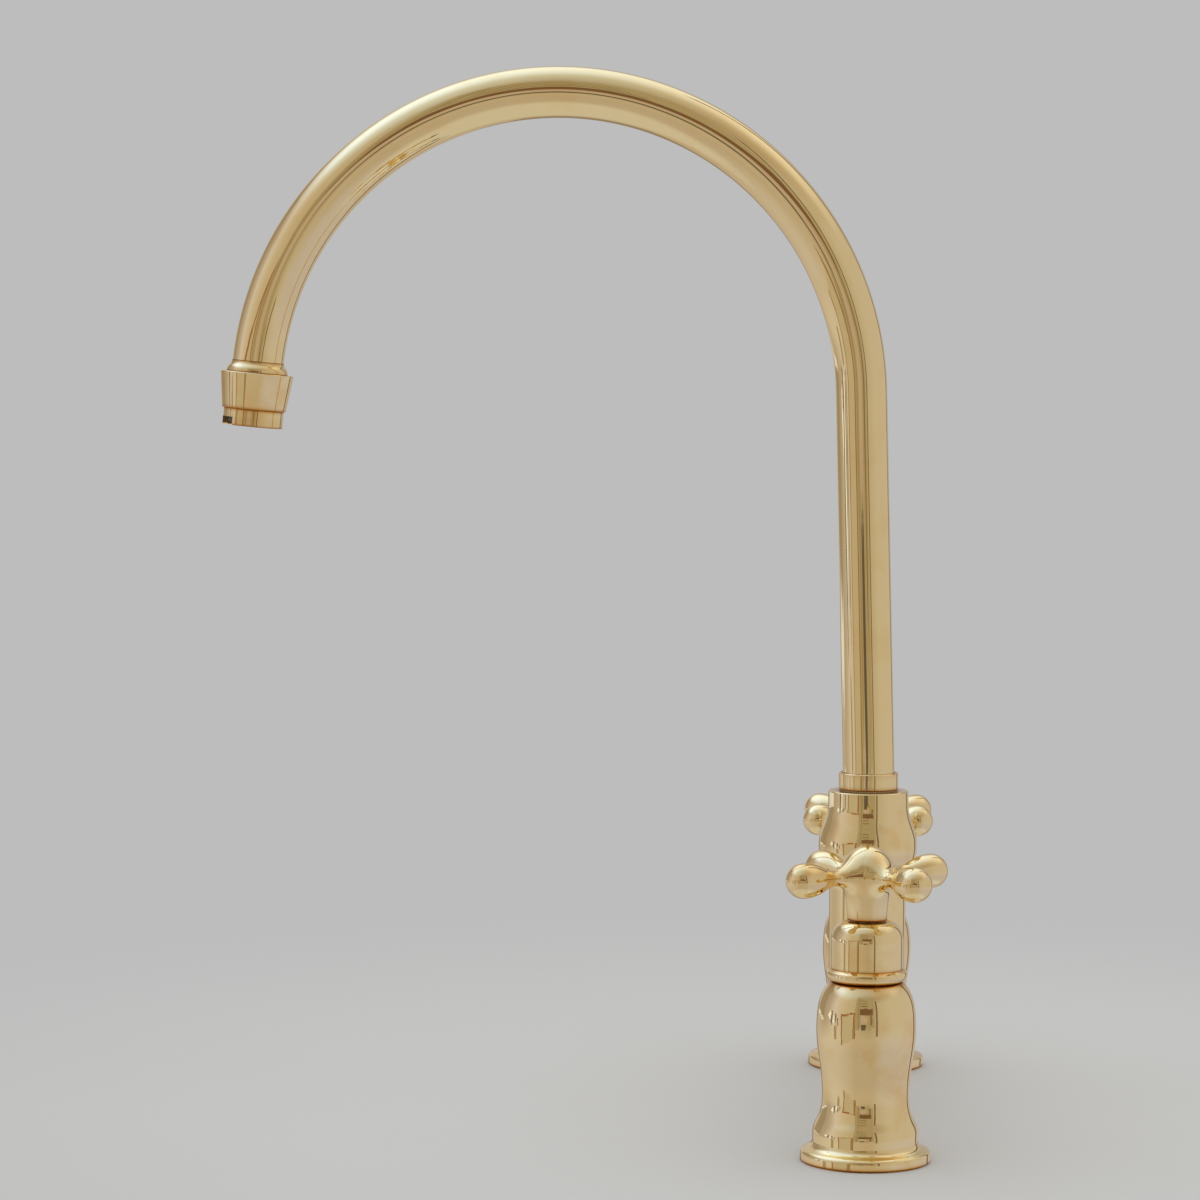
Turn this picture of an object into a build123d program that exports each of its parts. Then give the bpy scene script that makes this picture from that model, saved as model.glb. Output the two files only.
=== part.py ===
from build123d import *
import math
import os

# A deck-mounted bridge faucet: two vase-shaped valve bodies with cross handles, joined by a
# bridge to a middle column that carries a swivelling gooseneck spout.  All sizes are in
# millimetres.  Z = 0 is the top of the deck, the bridge runs along X, the spout reaches
# towards -Y, and the origin lies on the deck midway between the two valve bodies.

# ---------------------------------------------------------------------------
# Driving dimensions
# ---------------------------------------------------------------------------

# Deck and supplies
supply_centres = 203.2       # eight inches between the two shanks
deck_thickness = 30.0        # the deck that the lock nuts are shown clamping
water_bore_r = 6.5           # waterway through shanks and bodies

# Clearances
thread_gap = 0.04            # radial, between a male and a female thread
slip_gap = 0.05              # radial, where one fixed piece slides into another
running_gap = 0.08           # radial, where a shaft turns in its bore
cut_past = 1.0               # how far a cut runs on past the face it opens
disc_gap = 0.05              # water film between the two ceramic discs
screw_gap = 0.05             # radial, round a set screw
ring_gap = 0.1               # beside a seal in its groove
ring_film = 0.02             # between a seal and the faces that it closes

# Base flange and its gasket
flange_r = 25.0
flange_h = 4.6
flange_edge = 1.8
flange_bore_gap = 1.4
gasket_r = 21.0
gasket_h = 1.5
gasket_edge_gap = 0.3

# Shank under each body: a length of half-inch pipe, threaded G1/2 at both ends
pipe_r = 10.67
thread_r = 10.48
shank_engagement = 16.0      # length screwed into the body
shank_neck_below = 24.0      # unthreaded length below the deck's top
shank_drop = 62.0            # from the deck's top to the lower end
supply_thread_h = 15.0       # thread left for the hose nut
relief_w = 1.5
relief_depth = 1.0
shank_chamfer = 0.8

# Fixings under the deck
deck_washer_r = 22.0
rubber_washer_h = 3.0
brass_washer_h = 2.0
washer_bore_gap = 0.4
lock_nut_flats = 32.0
lock_nut_h = 8.0
nut_chamfer = 0.8

# Valve body: a turned vase on a plain foot
foot_r = 20.3
foot_h = 6.0
waist_r = 16.7
waist_up = 20.4              # height of the waist above the flange
belly_r = 19.1
belly_up = 46.4              # height of the belly, and of the bridge, above the flange
rim_r = 13.6
body_h = 64.8
body_edge = 0.6
cove_lead = 0.35             # how soon the foot turns in, as a share of its rise
cove_trail = 0.62
flank_lead = 0.42            # the slow swell from waist to belly
flank_trail = 0.34
shoulder_lead = 0.6          # the quick turn from belly to rim
shoulder_lean = 3.6

# Bridge
port_r = 12.6                # round boss on the side of a body or of the column
port_reach_body = 23.0       # from the body's axis to the boss's face
port_reach_column = 21.0
bridge_tube_r = 10.0
bridge_wall = 1.5
socket_depth = 8.0
union_r = 12.2
union_w = 7.0
union_edge = 1.6

# Ceramic cartridge
cartridge_thread_h = 10.0
cartridge_barrel_r = 9.0
cartridge_barrel_h = 18.4    # below the thread
barrel_wall = 1.25
chamber_r = 10.3             # bore in the body round the barrel
seal_h = 3.0
seal_stand = 1.0             # the seal stands this far below the barrel
seal_w = 1.8
disc_h = 3.0
disc_port_inner_r = 1.6
disc_port_margin = 1.4
disc_port_angle = 78.0
disc_lug_w = 3.0
window_h = 6.0
window_w = 11.0
cartridge_flange_r = 11.9
cartridge_flange_h = 2.0
cartridge_hex = 17.0
cartridge_hex_h = 5.0
cartridge_neck_r = 8.0
cartridge_neck_h = 6.5
stop_h = 2.0
stop_inner_r = 5.2
stop_outer_r = 7.2

# Spindle
spindle_r = 4.0
spindle_foot_w = 4.0
spindle_foot_l = 12.6
tang_h = 1.5
collar_h = 3.0
collar_gap = 0.1
o_ring_section = 1.8
o_ring_pitch = 5.0
stop_lug_angle = 60.0
stop_slack = 1.0             # degrees at each end of the quarter turn
quarter_turn = 90.0
spline_teeth = 20
spline_depth = 0.45
spline_h = 15.0
spline_gap = 0.1
spline_flank = 0.2           # share of a tooth's pitch taken by each sloping flank
spline_root = 0.2            # and by the flat between two teeth

# Bonnet
bead_r = 15.8
bead_foot_r = 14.0
bead_h = 3.7
bonnet_r = 13.8
bonnet_wall_up = 15.6        # height of the straight wall's end above the bonnet's foot
bonnet_h = 22.8
bonnet_crown_r = 8.2
bonnet_seat_gap = 0.2
bonnet_fillet = 1.0
bonnet_round = 0.55          # fullness of the turned rounds, as a share of their size
hex_room = 0.6
crown_bore_gap = 0.7

# Cross handle
handle_gap = 0.4
skirt_r = 7.6
arm_rise = 16.9              # arm plane above the skirt's foot
hub_r = 10.6
dome_rise = 11.7
neck_at = 15.2
arm_neck_r = 2.45
neck_flat = 1.0              # nearly straight stretch on the hub's side of the neck
ball_at = 30.0
ball_r = 6.7
arm_root_at = 7.5
arm_root_r = 4.6
ball_lead = 0.36             # where the arm starts to swell, as a share of neck to ball
ball_trail = 0.42
skirt_flare = 0.5            # how the hub's side leans out of the skirt and into the hub
hub_tuck = 1.6
dome_lead = 0.42             # how steeply the dome leaves the hub, and how broad its crown is
dome_tuck = 0.4
dome_crown = 0.62
arm_count = 4
right_arm_angle = 36.0       # first arm, from +X, with the valve closed
left_arm_angle = 45.0
socket_floor_gap = 0.5
handle_screw_r = 2.0
handle_screw_up = 5.0
handle_screw_hex = 2.0
handle_screw_recess = 0.4
hex_depth = 1.6

# Mixing column
stalk_r = 15.6
stalk_below = 17.0           # below the bridge's axis
stalk_above = 40.0           # where the urn starts to swell, above the bridge's axis
urn_r = 20.1
urn_up = 58.0                # height of the urn's widest ring above the bridge's axis
urn_shoulder_r = 16.4
urn_shoulder_up = 75.2
column_up = 80.5             # flat top above the bridge's axis
column_top_r = 16.3
column_edge = 0.3
urn_swell = 0.5              # how soon the urn swells and draws in, as shares of each rise
urn_taper = 0.45
mixing_bore_r = 9.0
plug_r = 15.6
plug_rim_h = 2.4
plug_dome_h = 5.0
plug_thread_h = 6.0
plug_edge = 0.6

# Spout stem and swivel
stem_r = 11.3
stem_length = 43.0
stem_bore_r = 7.6
stem_floor_gap = 0.6
stem_spigot_h = 6.5
stem_ring_section = 2.6
stem_ring_down = 9.0         # first O-ring below the column's top
stem_ring_pitch = 26.0
groove_w = 5.8
groove_depth = 1.6
retaining_down = 22.0        # retaining screw below the column's top
retaining_screw_r = 2.5
retaining_tip_gap = 0.3
retaining_recess = 0.5
retaining_hex = 2.5
glide_washer_h = 0.6
glide_washer_r = 11.9
collar_r = 12.1
collar_height = 6.8
collar_edge = 0.3

# Gooseneck
tube_r = 10.5
tube_wall = 1.0
tube_foot_h = 7.0            # upright foot of the tube, inside the collar
spout_lean = 1.68            # degrees that the riser leans towards the outlet
lean_r = 200.0               # slight bend between the foot and the leaning riser
riser_h = 149.9              # straight, leaning length
bend_r = 124.2
bend_angle = 173.1
tail_h = 8.0                 # straight end of the tube, inside the outlet collar

# Outlet
shoulder_foot_r = 10.7
shoulder_r = 12.4
shoulder_h = 3.6
outlet_r = 15.0
outlet_tip_r = 13.2
outlet_h = 15.0
outlet_edge = 0.25
shoulder_round = 0.6         # how full the shoulder's ogee is, as a share of its height
shoulder_lap = 1.6           # how far the shoulder reaches back over the bend
aerator_thread_r = 11.5
aerator_thread_h = 6.0
aerator_r = 12.35
aerator_rim_h = 7.0
aerator_wall = 1.3
key_notch_w = 5.0
key_notch_h = 3.4
key_notch_turn = 28.0        # notch from the Y axis, in the outlet's own frame
aerator_washer_h = 1.8
outlet_throat_r = 9.0
insert_h = 8.0
insert_recess = 1.2
insert_slot_w = 1.1
insert_bar_w = 0.9
insert_rim_w = 1.6

# ---------------------------------------------------------------------------
# Places that follow from those sizes
# ---------------------------------------------------------------------------

side_x = supply_centres / 2
body_foot_z = flange_h
bridge_z = body_foot_z + belly_up
rim_z = body_foot_z + body_h
flange_bore_r = pipe_r + flange_bore_gap

barrel_foot_z = rim_z - cartridge_thread_h - cartridge_barrel_h
seat_z = barrel_foot_z - seal_stand
barrel_bore_r = cartridge_barrel_r - barrel_wall
disc_z = seat_z + seal_h
moving_disc_z = disc_z + disc_h + disc_gap
foot_z = moving_disc_z + disc_h
collar_z = foot_z + window_h + collar_gap
barrel_shoulder_z = collar_z + collar_h + collar_gap
hex_z = rim_z + cartridge_flange_h
neck_z = hex_z + cartridge_hex_h
stop_z = neck_z + cartridge_neck_h

bonnet_foot_z = rim_z + bonnet_seat_gap
bonnet_top_z = bonnet_foot_z + bonnet_h
handle_z = bonnet_top_z + handle_gap
arm_z = handle_z + arm_rise
handle_top_z = arm_z + dome_rise
spline_foot_z = handle_z
spindle_top_z = spline_foot_z + spline_h

column_top_z = bridge_z + column_up
column_foot_z = bridge_z - stalk_below
collar_foot_z = column_top_z + glide_washer_h
stem_foot_z = column_top_z - stem_length
stem_socket_z = stem_foot_z - stem_floor_gap
retaining_z = column_top_z - retaining_down
bridge_bore_r = bridge_tube_r - bridge_wall


# ---------------------------------------------------------------------------
# Shaping helpers
# ---------------------------------------------------------------------------

def turned(*edges):
    """A solid turned about Z from the edges of a closed half outline, as (radius, height)."""
    return revolve(make_face(Plane.XZ * (Curve() + list(edges))), Axis.Z)


def rod(radius, low, high):
    """A cylinder on the Z axis from one height to another."""
    return Pos(0, 0, low) * Cylinder(radius, high - low, align=(Align.CENTER, Align.CENTER, Align.MIN))


def ring(outer, inner, low, high):
    """A round ring or tube on the Z axis."""
    return rod(outer, low, high) - rod(inner, low - cut_past, high + cut_past)


def seal_ring(shaft_r, section, height):
    """An O-ring in its groove, as thick as the bore round the shaft leaves it."""
    middle = shaft_r + running_gap - section / 2
    return Pos(0, 0, height) * Torus(middle, section / 2 - ring_film)


def seal_groove(shaft_r, section, height):
    """What is turned away from a shaft to hold an O-ring."""
    half = section / 2 + ring_gap
    return ring(shaft_r + cut_past, shaft_r + running_gap - section, height - half, height + half)


def hexagon(flats, low, high):
    """A hexagonal prism on the Z axis, measured across its flats."""
    section = RegularPolygon(flats / 2, 6, major_radius=False)
    return Pos(0, 0, low) * extrude(section, high - low)


def sector(inner, outer, low, high, centre_angle, spread):
    """Part of a ring, centred on an angle and spread over another."""
    start = math.radians(centre_angle - spread / 2)
    middle = math.radians(centre_angle)
    end = math.radians(centre_angle + spread / 2)

    def at(radius, angle):
        return (radius * math.cos(angle), radius * math.sin(angle))

    outline = Curve() + [
        ThreePointArc(at(outer, start), at(outer, middle), at(outer, end)),
        Line(at(outer, end), at(inner, end)),
        ThreePointArc(at(inner, end), at(inner, middle), at(inner, start)),
        Line(at(inner, start), at(outer, start)),
    ]
    return Pos(0, 0, low) * extrude(make_face(outline), high - low)


def mirrored(shape):
    """The same piece on the other side of the bridge."""
    solids = [mirror(solid, about=Plane.YZ) for solid in shape.solids()]
    return solids[0] if len(solids) == 1 else Compound(children=solids)


def along_x(shape):
    """Turns a shape made on the Z axis so that it lies along +X."""
    return Rot(0, 90, 0) * shape


def grub_screw(radius, length, flats, depth):
    """A socket set screw standing on the Z axis, its tip at Z = 0 and its socket upwards."""
    tip = radius / 2
    blank = rod(radius, 0, length)
    blank = chamfer(blank.edges().sort_by(Axis.Z)[0], tip / 2)
    return blank - hexagon(flats, length - depth, length + cut_past)


def splined(tip_r, low, high):
    """A shaft with fine straight splines, as cut on a valve spindle."""
    root_r = tip_r - spline_depth
    pitch = 360 / spline_teeth
    corners = (
        (root_r, 0),
        (root_r, spline_root),
        (tip_r, spline_root + spline_flank),
        (tip_r, 1 - spline_flank),
    )
    points = []
    for tooth in range(spline_teeth):
        for radius, part in corners:
            angle = math.radians((tooth + part) * pitch)
            points.append((radius * math.cos(angle), radius * math.sin(angle)))
    outline = Polyline(*points, close=True)
    return Pos(0, 0, low) * extrude(make_face(outline), high - low)


# ---------------------------------------------------------------------------
# One side, built on the Z axis with the bridge towards -X
# ---------------------------------------------------------------------------

def base_flange():
    plate = ring(flange_r, flange_bore_r, 0, flange_h)
    rims = plate.edges().filter_by(GeomType.CIRCLE).group_by(SortBy.RADIUS)[-1]
    plate = fillet(rims.sort_by(Axis.Z)[-1], flange_edge)
    return plate - rod(gasket_r + gasket_edge_gap, -1, gasket_h)


def flange_gasket():
    return ring(gasket_r, flange_bore_r + gasket_edge_gap, 0, gasket_h)


def valve_body():
    rise = waist_up - foot_h
    flank = belly_up - waist_up
    shoulder = body_h - belly_up
    foot = body_foot_z
    waist = foot + waist_up
    outline = [
        Line((0, foot), (foot_r - body_edge, foot)),
        Line((foot_r - body_edge, foot), (foot_r, foot + body_edge)),
        Line((foot_r, foot + body_edge), (foot_r, foot + foot_h)),
        Bezier(
            (foot_r, foot + foot_h),
            (foot_r, foot + foot_h + cove_lead * rise),
            (waist_r, waist - cove_trail * rise),
            (waist_r, waist),
        ),
        Bezier(
            (waist_r, waist),
            (waist_r, waist + flank_lead * flank),
            (belly_r, bridge_z - flank_trail * flank),
            (belly_r, bridge_z),
        ),
        Bezier(
            (belly_r, bridge_z),
            (belly_r, bridge_z + shoulder_lead * shoulder),
            (rim_r + shoulder_lean, rim_z - shoulder_lean),
            (rim_r, rim_z),
        ),
        Line((rim_r, rim_z), (0, rim_z)),
        Line((0, rim_z), (0, foot)),
    ]
    body = turned(*outline)
    boss = along_x(rod(port_r, -port_reach_body, 0))
    body += Pos(0, 0, bridge_z) * boss
    body -= rod(thread_r + thread_gap, foot - cut_past, foot + shank_engagement)
    body -= rod(water_bore_r, foot, seat_z + cut_past)
    body -= rod(chamber_r, seat_z, rim_z - cartridge_thread_h)
    body -= rod(thread_r + thread_gap, rim_z - cartridge_thread_h - cut_past, rim_z + cut_past)
    port = rod(water_bore_r, -port_reach_body, 0)
    port += rod(bridge_tube_r + slip_gap, -port_reach_body - cut_past, socket_depth - port_reach_body)
    return body - Pos(0, 0, bridge_z) * along_x(port)


def inlet_shank():
    top = body_foot_z + shank_engagement
    pipe = rod(pipe_r, -shank_neck_below, body_foot_z)
    pipe += rod(thread_r, body_foot_z, top)
    pipe += rod(thread_r, -shank_drop, -shank_neck_below)
    pipe = chamfer(pipe.edges().sort_by(Axis.Z)[0], shank_chamfer)
    relief_top = -shank_drop + shank_chamfer + supply_thread_h + relief_w
    pipe -= ring(pipe_r, thread_r - relief_depth, relief_top - relief_w, relief_top)
    return pipe - rod(water_bore_r, -shank_drop - cut_past, top + cut_past)


def rubber_washer():
    top = -deck_thickness
    return ring(deck_washer_r, thread_r + washer_bore_gap, top - rubber_washer_h, top)


def brass_washer():
    top = -deck_thickness - rubber_washer_h
    return ring(deck_washer_r, thread_r + washer_bore_gap, top - brass_washer_h, top)


def lock_nut():
    top = -deck_thickness - rubber_washer_h - brass_washer_h
    corner_r = lock_nut_flats / math.sqrt(3)
    low = top - lock_nut_h
    blank = hexagon(lock_nut_flats, low, top)
    turning = rod(corner_r, low, top)
    turning = chamfer(turning.edges().filter_by(GeomType.CIRCLE), nut_chamfer)
    return blank & turning - rod(thread_r + thread_gap, low - cut_past, top + cut_past)


def cartridge_body():
    shell = rod(cartridge_barrel_r, barrel_foot_z, rim_z - cartridge_thread_h)
    shell += rod(thread_r, rim_z - cartridge_thread_h, rim_z)
    shell += rod(cartridge_flange_r, rim_z, hex_z)
    shell += hexagon(cartridge_hex, hex_z, neck_z)
    shell += rod(cartridge_neck_r, neck_z, stop_z)
    wall_angle = 360 - stop_lug_angle - quarter_turn - 2 * stop_slack
    shell += sector(stop_inner_r, stop_outer_r, stop_z, stop_z + stop_h, 180, wall_angle)
    shell -= rod(barrel_bore_r, barrel_foot_z - cut_past, barrel_shoulder_z)
    shell -= rod(spindle_r + running_gap, barrel_shoulder_z - cut_past, stop_z + cut_past)
    window = Pos(0, 0, foot_z) * Box(
        3 * cartridge_barrel_r, window_w, window_h, align=(Align.CENTER, Align.CENTER, Align.MIN)
    )
    notch = Pos(0, 0, barrel_foot_z - cut_past) * Box(
        disc_lug_w + 2 * slip_gap,
        3 * cartridge_barrel_r,
        disc_z + disc_h - barrel_foot_z + cut_past,
        align=(Align.CENTER, Align.CENTER, Align.MIN),
    )
    return shell - window - notch


def seat_seal():
    outer = barrel_bore_r - ring_gap
    return ring(outer, outer - seal_w, seat_z, disc_z)


def disc_ports(low, high, centre_angle):
    """The two opposite fan-shaped ports of a ceramic disc."""
    outer = barrel_bore_r - disc_port_margin - slip_gap
    ports = sector(disc_port_inner_r, outer, low - cut_past, high + cut_past, centre_angle, disc_port_angle)
    return ports + Rot(0, 0, 180) * ports


def fixed_disc():
    top = disc_z + disc_h
    disc = rod(barrel_bore_r - slip_gap, disc_z, top)
    lugs = Pos(0, 0, disc_z) * Box(
        disc_lug_w,
        2 * (cartridge_barrel_r - slip_gap),
        disc_h,
        align=(Align.CENTER, Align.CENTER, Align.MIN),
    )
    return disc + lugs - disc_ports(disc_z, top, 0)


def moving_disc():
    top = moving_disc_z + disc_h
    disc = rod(barrel_bore_r - running_gap, moving_disc_z, top)
    slot = Pos(0, 0, top) * Box(
        spindle_foot_l + 2 * slip_gap,
        spindle_foot_w + 2 * slip_gap,
        2 * (tang_h + slip_gap),
    )
    return disc - slot - disc_ports(moving_disc_z, top, 90)


def spindle():
    foot = Pos(0, 0, foot_z - tang_h) * Box(
        spindle_foot_l,
        spindle_foot_w,
        collar_z - foot_z + tang_h,
        align=(Align.CENTER, Align.CENTER, Align.MIN),
    )
    shaft = foot + rod(barrel_bore_r - running_gap, collar_z, collar_z + collar_h)
    shaft += rod(spindle_r, collar_z, spline_foot_z)
    lug_low = stop_z + running_gap
    shaft += sector(
        spindle_r / 2, stop_outer_r, lug_low, stop_z + stop_h, quarter_turn / 2, stop_lug_angle
    )
    shaft += splined(spindle_r, spline_foot_z, spindle_top_z)
    for height in spindle_ring_heights():
        shaft -= seal_groove(spindle_r, o_ring_section, height)
    return shaft


def spindle_ring_heights():
    first = barrel_shoulder_z + o_ring_pitch
    return (first, first + o_ring_pitch)


def spindle_o_rings():
    heights = spindle_ring_heights()
    return Compound(children=[seal_ring(spindle_r, o_ring_section, height) for height in heights])


def bonnet():
    foot = bonnet_foot_z
    bead_top = foot + bead_h
    wall_top = foot + bonnet_wall_up
    crown = bonnet_top_z - wall_top
    outline = [
        Line((0, foot), (bead_foot_r, foot)),
        Bezier(
            (bead_foot_r, foot),
            (bead_r, foot + bead_h * bonnet_round / 2),
            (bead_r, bead_top - bead_h / 4),
            (bead_r - bead_h / 8, bead_top),
        ),
        Line((bead_r - bead_h / 8, bead_top), (bonnet_r, bead_top + bonnet_fillet)),
        Line((bonnet_r, bead_top + bonnet_fillet), (bonnet_r, wall_top)),
        Bezier(
            (bonnet_r, wall_top),
            (bonnet_r, wall_top + bonnet_round * crown),
            (bonnet_crown_r + bonnet_round * (bonnet_r - bonnet_crown_r), bonnet_top_z),
            (bonnet_crown_r, bonnet_top_z),
        ),
        Line((bonnet_crown_r, bonnet_top_z), (0, bonnet_top_z)),
        Line((0, bonnet_top_z), (0, foot)),
    ]
    shell = turned(*outline)
    shell -= rod(cartridge_flange_r + hex_room, foot - cut_past, neck_z)
    shell -= rod(cartridge_neck_r + thread_gap, neck_z - cut_past, stop_z + stop_h + hex_room)
    return shell - rod(spindle_r + crown_bore_gap, stop_z, bonnet_top_z + cut_past)


def handle_arm():
    """One arm, turned about +X: a slim neck that swells to a teardrop ball."""
    tip = ball_at + ball_r
    run = ball_at - neck_at
    outline = Curve() + [
        Line((0, 0), (arm_root_at, 0)),
        Line((arm_root_at, 0), (arm_root_at, arm_root_r)),
        Bezier(
            (arm_root_at, arm_root_r),
            (arm_root_at + (neck_at - arm_root_at) / 2, arm_neck_r),
            (neck_at - neck_flat, arm_neck_r),
            (neck_at, arm_neck_r),
        ),
        Bezier(
            (neck_at, arm_neck_r),
            (neck_at + run * ball_lead, arm_neck_r),
            (ball_at - run * ball_trail, ball_r),
            (ball_at, ball_r),
        ),
        ThreePointArc(
            (ball_at, ball_r),
            (ball_at + ball_r * math.sin(math.pi / 4), ball_r * math.cos(math.pi / 4)),
            (tip, 0),
        ),
        Line((tip, 0), (0, 0)),
    ]
    return revolve(make_face(Plane.XZ * outline), Axis.X)


def cross_handle(first_angle):
    half = arm_rise / 2
    outline = [
        Line((0, handle_z), (skirt_r, handle_z)),
        Bezier(
            (skirt_r, handle_z),
            (skirt_r + skirt_flare, handle_z + half),
            (hub_r - hub_tuck, arm_z - half / 2),
            (hub_r, arm_z),
        ),
        Bezier(
            (hub_r, arm_z),
            (hub_r - dome_tuck, arm_z + dome_rise * dome_lead),
            (hub_r * dome_crown, handle_top_z),
            (0, handle_top_z),
        ),
        Line((0, handle_top_z), (0, handle_z)),
    ]
    cast = turned(*outline)
    arm = handle_arm()
    for index in range(arm_count):
        cast += Pos(0, 0, arm_z) * Rot(0, 0, first_angle + index * 360 / arm_count) * arm
    floor = spindle_top_z + socket_floor_gap
    cast -= splined(spindle_r + spline_gap, handle_z - cut_past, floor)
    bore = rod(handle_screw_r + screw_gap, 0, 2 * skirt_r)
    return cast - handle_screw_place(first_angle) * bore


def handle_screw_place(first_angle):
    """Where the set screw lies: midway between the two arms that face the bridge."""
    pitch = 360 / arm_count
    turn = first_angle + pitch / 2
    turn += pitch * round((180 - turn) / pitch)
    return Pos(0, 0, handle_z + handle_screw_up) * Rot(0, 0, turn) * Rot(0, 90, 0)


def handle_set_screw(first_angle):
    length = skirt_r - handle_screw_recess - spindle_r - screw_gap
    screw = grub_screw(handle_screw_r, length, handle_screw_hex, hex_depth)
    return handle_screw_place(first_angle) * Pos(0, 0, spindle_r + screw_gap) * screw


# ---------------------------------------------------------------------------
# Bridge, column and spout
# ---------------------------------------------------------------------------

def bridge_tube():
    """The tube on the +X side, between the column's socket and the body's."""
    near = port_reach_column - socket_depth
    far = side_x - port_reach_body + socket_depth
    return Pos(0, 0, bridge_z) * along_x(ring(bridge_tube_r, bridge_bore_r, near, far))


def union_ring(low):
    """A turned ring that covers the joint where a bridge tube enters its boss."""
    collar = ring(union_r, bridge_tube_r + slip_gap, low, low + union_w)
    rims = collar.edges().filter_by(GeomType.CIRCLE).group_by(SortBy.RADIUS)[-1]
    return fillet(rims, union_edge)


def bridge_unions():
    """The two rings of the +X bridge tube, against the column's boss and the body's."""
    places = (port_reach_column, side_x - port_reach_body - union_w)
    return Compound(children=[Pos(0, 0, bridge_z) * along_x(union_ring(low)) for low in places])


def mixing_column():
    foot = column_foot_z
    stalk_top = bridge_z + stalk_above
    widest = bridge_z + urn_up
    shoulder = bridge_z + urn_shoulder_up
    swell = widest - stalk_top
    taper = shoulder - widest
    outline = [
        Line((0, foot), (stalk_r, foot)),
        Line((stalk_r, foot), (stalk_r, stalk_top)),
        Bezier(
            (stalk_r, stalk_top),
            (stalk_r, stalk_top + urn_swell * swell),
            (urn_r, widest - urn_swell * swell),
            (urn_r, widest),
        ),
        Bezier(
            (urn_r, widest),
            (urn_r, widest + urn_taper * taper),
            (urn_shoulder_r, shoulder - urn_taper * taper),
            (urn_shoulder_r, shoulder),
        ),
        Line((urn_shoulder_r, shoulder), (column_top_r, column_top_z - column_edge)),
        Line((column_top_r, column_top_z - column_edge), (column_top_r - column_edge, column_top_z)),
        Line((column_top_r - column_edge, column_top_z), (0, column_top_z)),
        Line((0, column_top_z), (0, foot)),
    ]
    column = turned(*outline)
    boss = along_x(rod(port_r, -port_reach_column, port_reach_column))
    column += Pos(0, 0, bridge_z) * boss
    column -= rod(stem_r + running_gap, stem_socket_z, column_top_z + cut_past)
    column -= rod(mixing_bore_r, foot - cut_past, stem_socket_z + cut_past)
    column -= rod(thread_r + thread_gap, foot - cut_past, foot + plug_thread_h)
    for turn in (0, 180):
        port = rod(water_bore_r, 0, port_reach_column)
        mouth = port_reach_column - socket_depth
        port += rod(bridge_tube_r + slip_gap, mouth, port_reach_column + cut_past)
        column -= Pos(0, 0, bridge_z) * Rot(0, 0, turn) * along_x(port)
    return column - retaining_place() * rod(retaining_screw_r + screw_gap, 0, 2 * urn_r)


def column_plug():
    rim = column_foot_z - plug_rim_h
    dome = rim - plug_dome_h
    outline = [
        Line((0, column_foot_z), (plug_r, column_foot_z)),
        Line((plug_r, column_foot_z), (plug_r, rim)),
        Bezier((plug_r, rim), (plug_r, dome + plug_edge), (plug_r / 2, dome), (0, dome)),
        Line((0, dome), (0, column_foot_z)),
    ]
    return turned(*outline) + rod(thread_r, column_foot_z, column_foot_z + plug_thread_h - slip_gap)


def retaining_place():
    """The retaining screw's line: from the column's axis out to the back, +Y."""
    return Pos(0, 0, retaining_z) * Rot(-90, 0, 0)


def retaining_screw():
    tip = stem_r - groove_depth + retaining_tip_gap
    length = urn_r - retaining_recess - tip
    screw = grub_screw(retaining_screw_r, length, retaining_hex, hex_depth)
    return retaining_place() * Pos(0, 0, tip) * screw


def stem_ring_heights():
    first = column_top_z - stem_ring_down
    return (first, first - stem_ring_pitch)


def spout_stem():
    stem = rod(stem_r, stem_foot_z, collar_foot_z)
    stem = chamfer(stem.edges().sort_by(Axis.Z)[0], slip_gap + ring_gap * 5)
    stem += rod(tube_r - tube_wall - slip_gap, collar_foot_z, collar_foot_z + stem_spigot_h)
    stem -= rod(stem_bore_r, stem_foot_z - cut_past, collar_foot_z + stem_spigot_h + cut_past)
    groove_r = stem_r - groove_depth
    stem -= ring(stem_r + cut_past, groove_r, retaining_z - groove_w / 2, retaining_z + groove_w / 2)
    for height in stem_ring_heights():
        stem -= seal_groove(stem_r, stem_ring_section, height)
    return stem


def spout_o_rings():
    heights = stem_ring_heights()
    return Compound(children=[seal_ring(stem_r, stem_ring_section, height) for height in heights])


def glide_washer():
    return ring(glide_washer_r, stem_r + running_gap, column_top_z + slip_gap, collar_foot_z)


def spout_collar():
    collar = ring(collar_r, tube_r + slip_gap, collar_foot_z, collar_foot_z + collar_height)
    rims = collar.edges().filter_by(GeomType.CIRCLE).group_by(SortBy.RADIUS)[-1]
    return chamfer(rims, collar_edge)


def turn_point(start, radius, lean, angle):
    """A point on a bend towards -Y that leaves its start with a lean, after turning by an angle."""
    first = math.radians(lean)
    last = math.radians(lean + angle)
    centre = start - Vector(0, radius * math.cos(first), radius * math.sin(first))
    return centre + Vector(0, radius * math.cos(last), radius * math.sin(last))


def spout_corners():
    """The ends of the tube's foot, of its slight first bend, of the riser and of the great bend."""
    lean = math.radians(spout_lean)
    foot_top = Vector(0, 0, collar_foot_z + tube_foot_h)
    riser_foot = turn_point(foot_top, lean_r, 0, spout_lean)
    riser_top = riser_foot + Vector(0, -math.sin(lean), math.cos(lean)) * riser_h
    bend_end = turn_point(riser_top, bend_r, spout_lean, bend_angle)
    return foot_top, riser_foot, riser_top, bend_end


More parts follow.
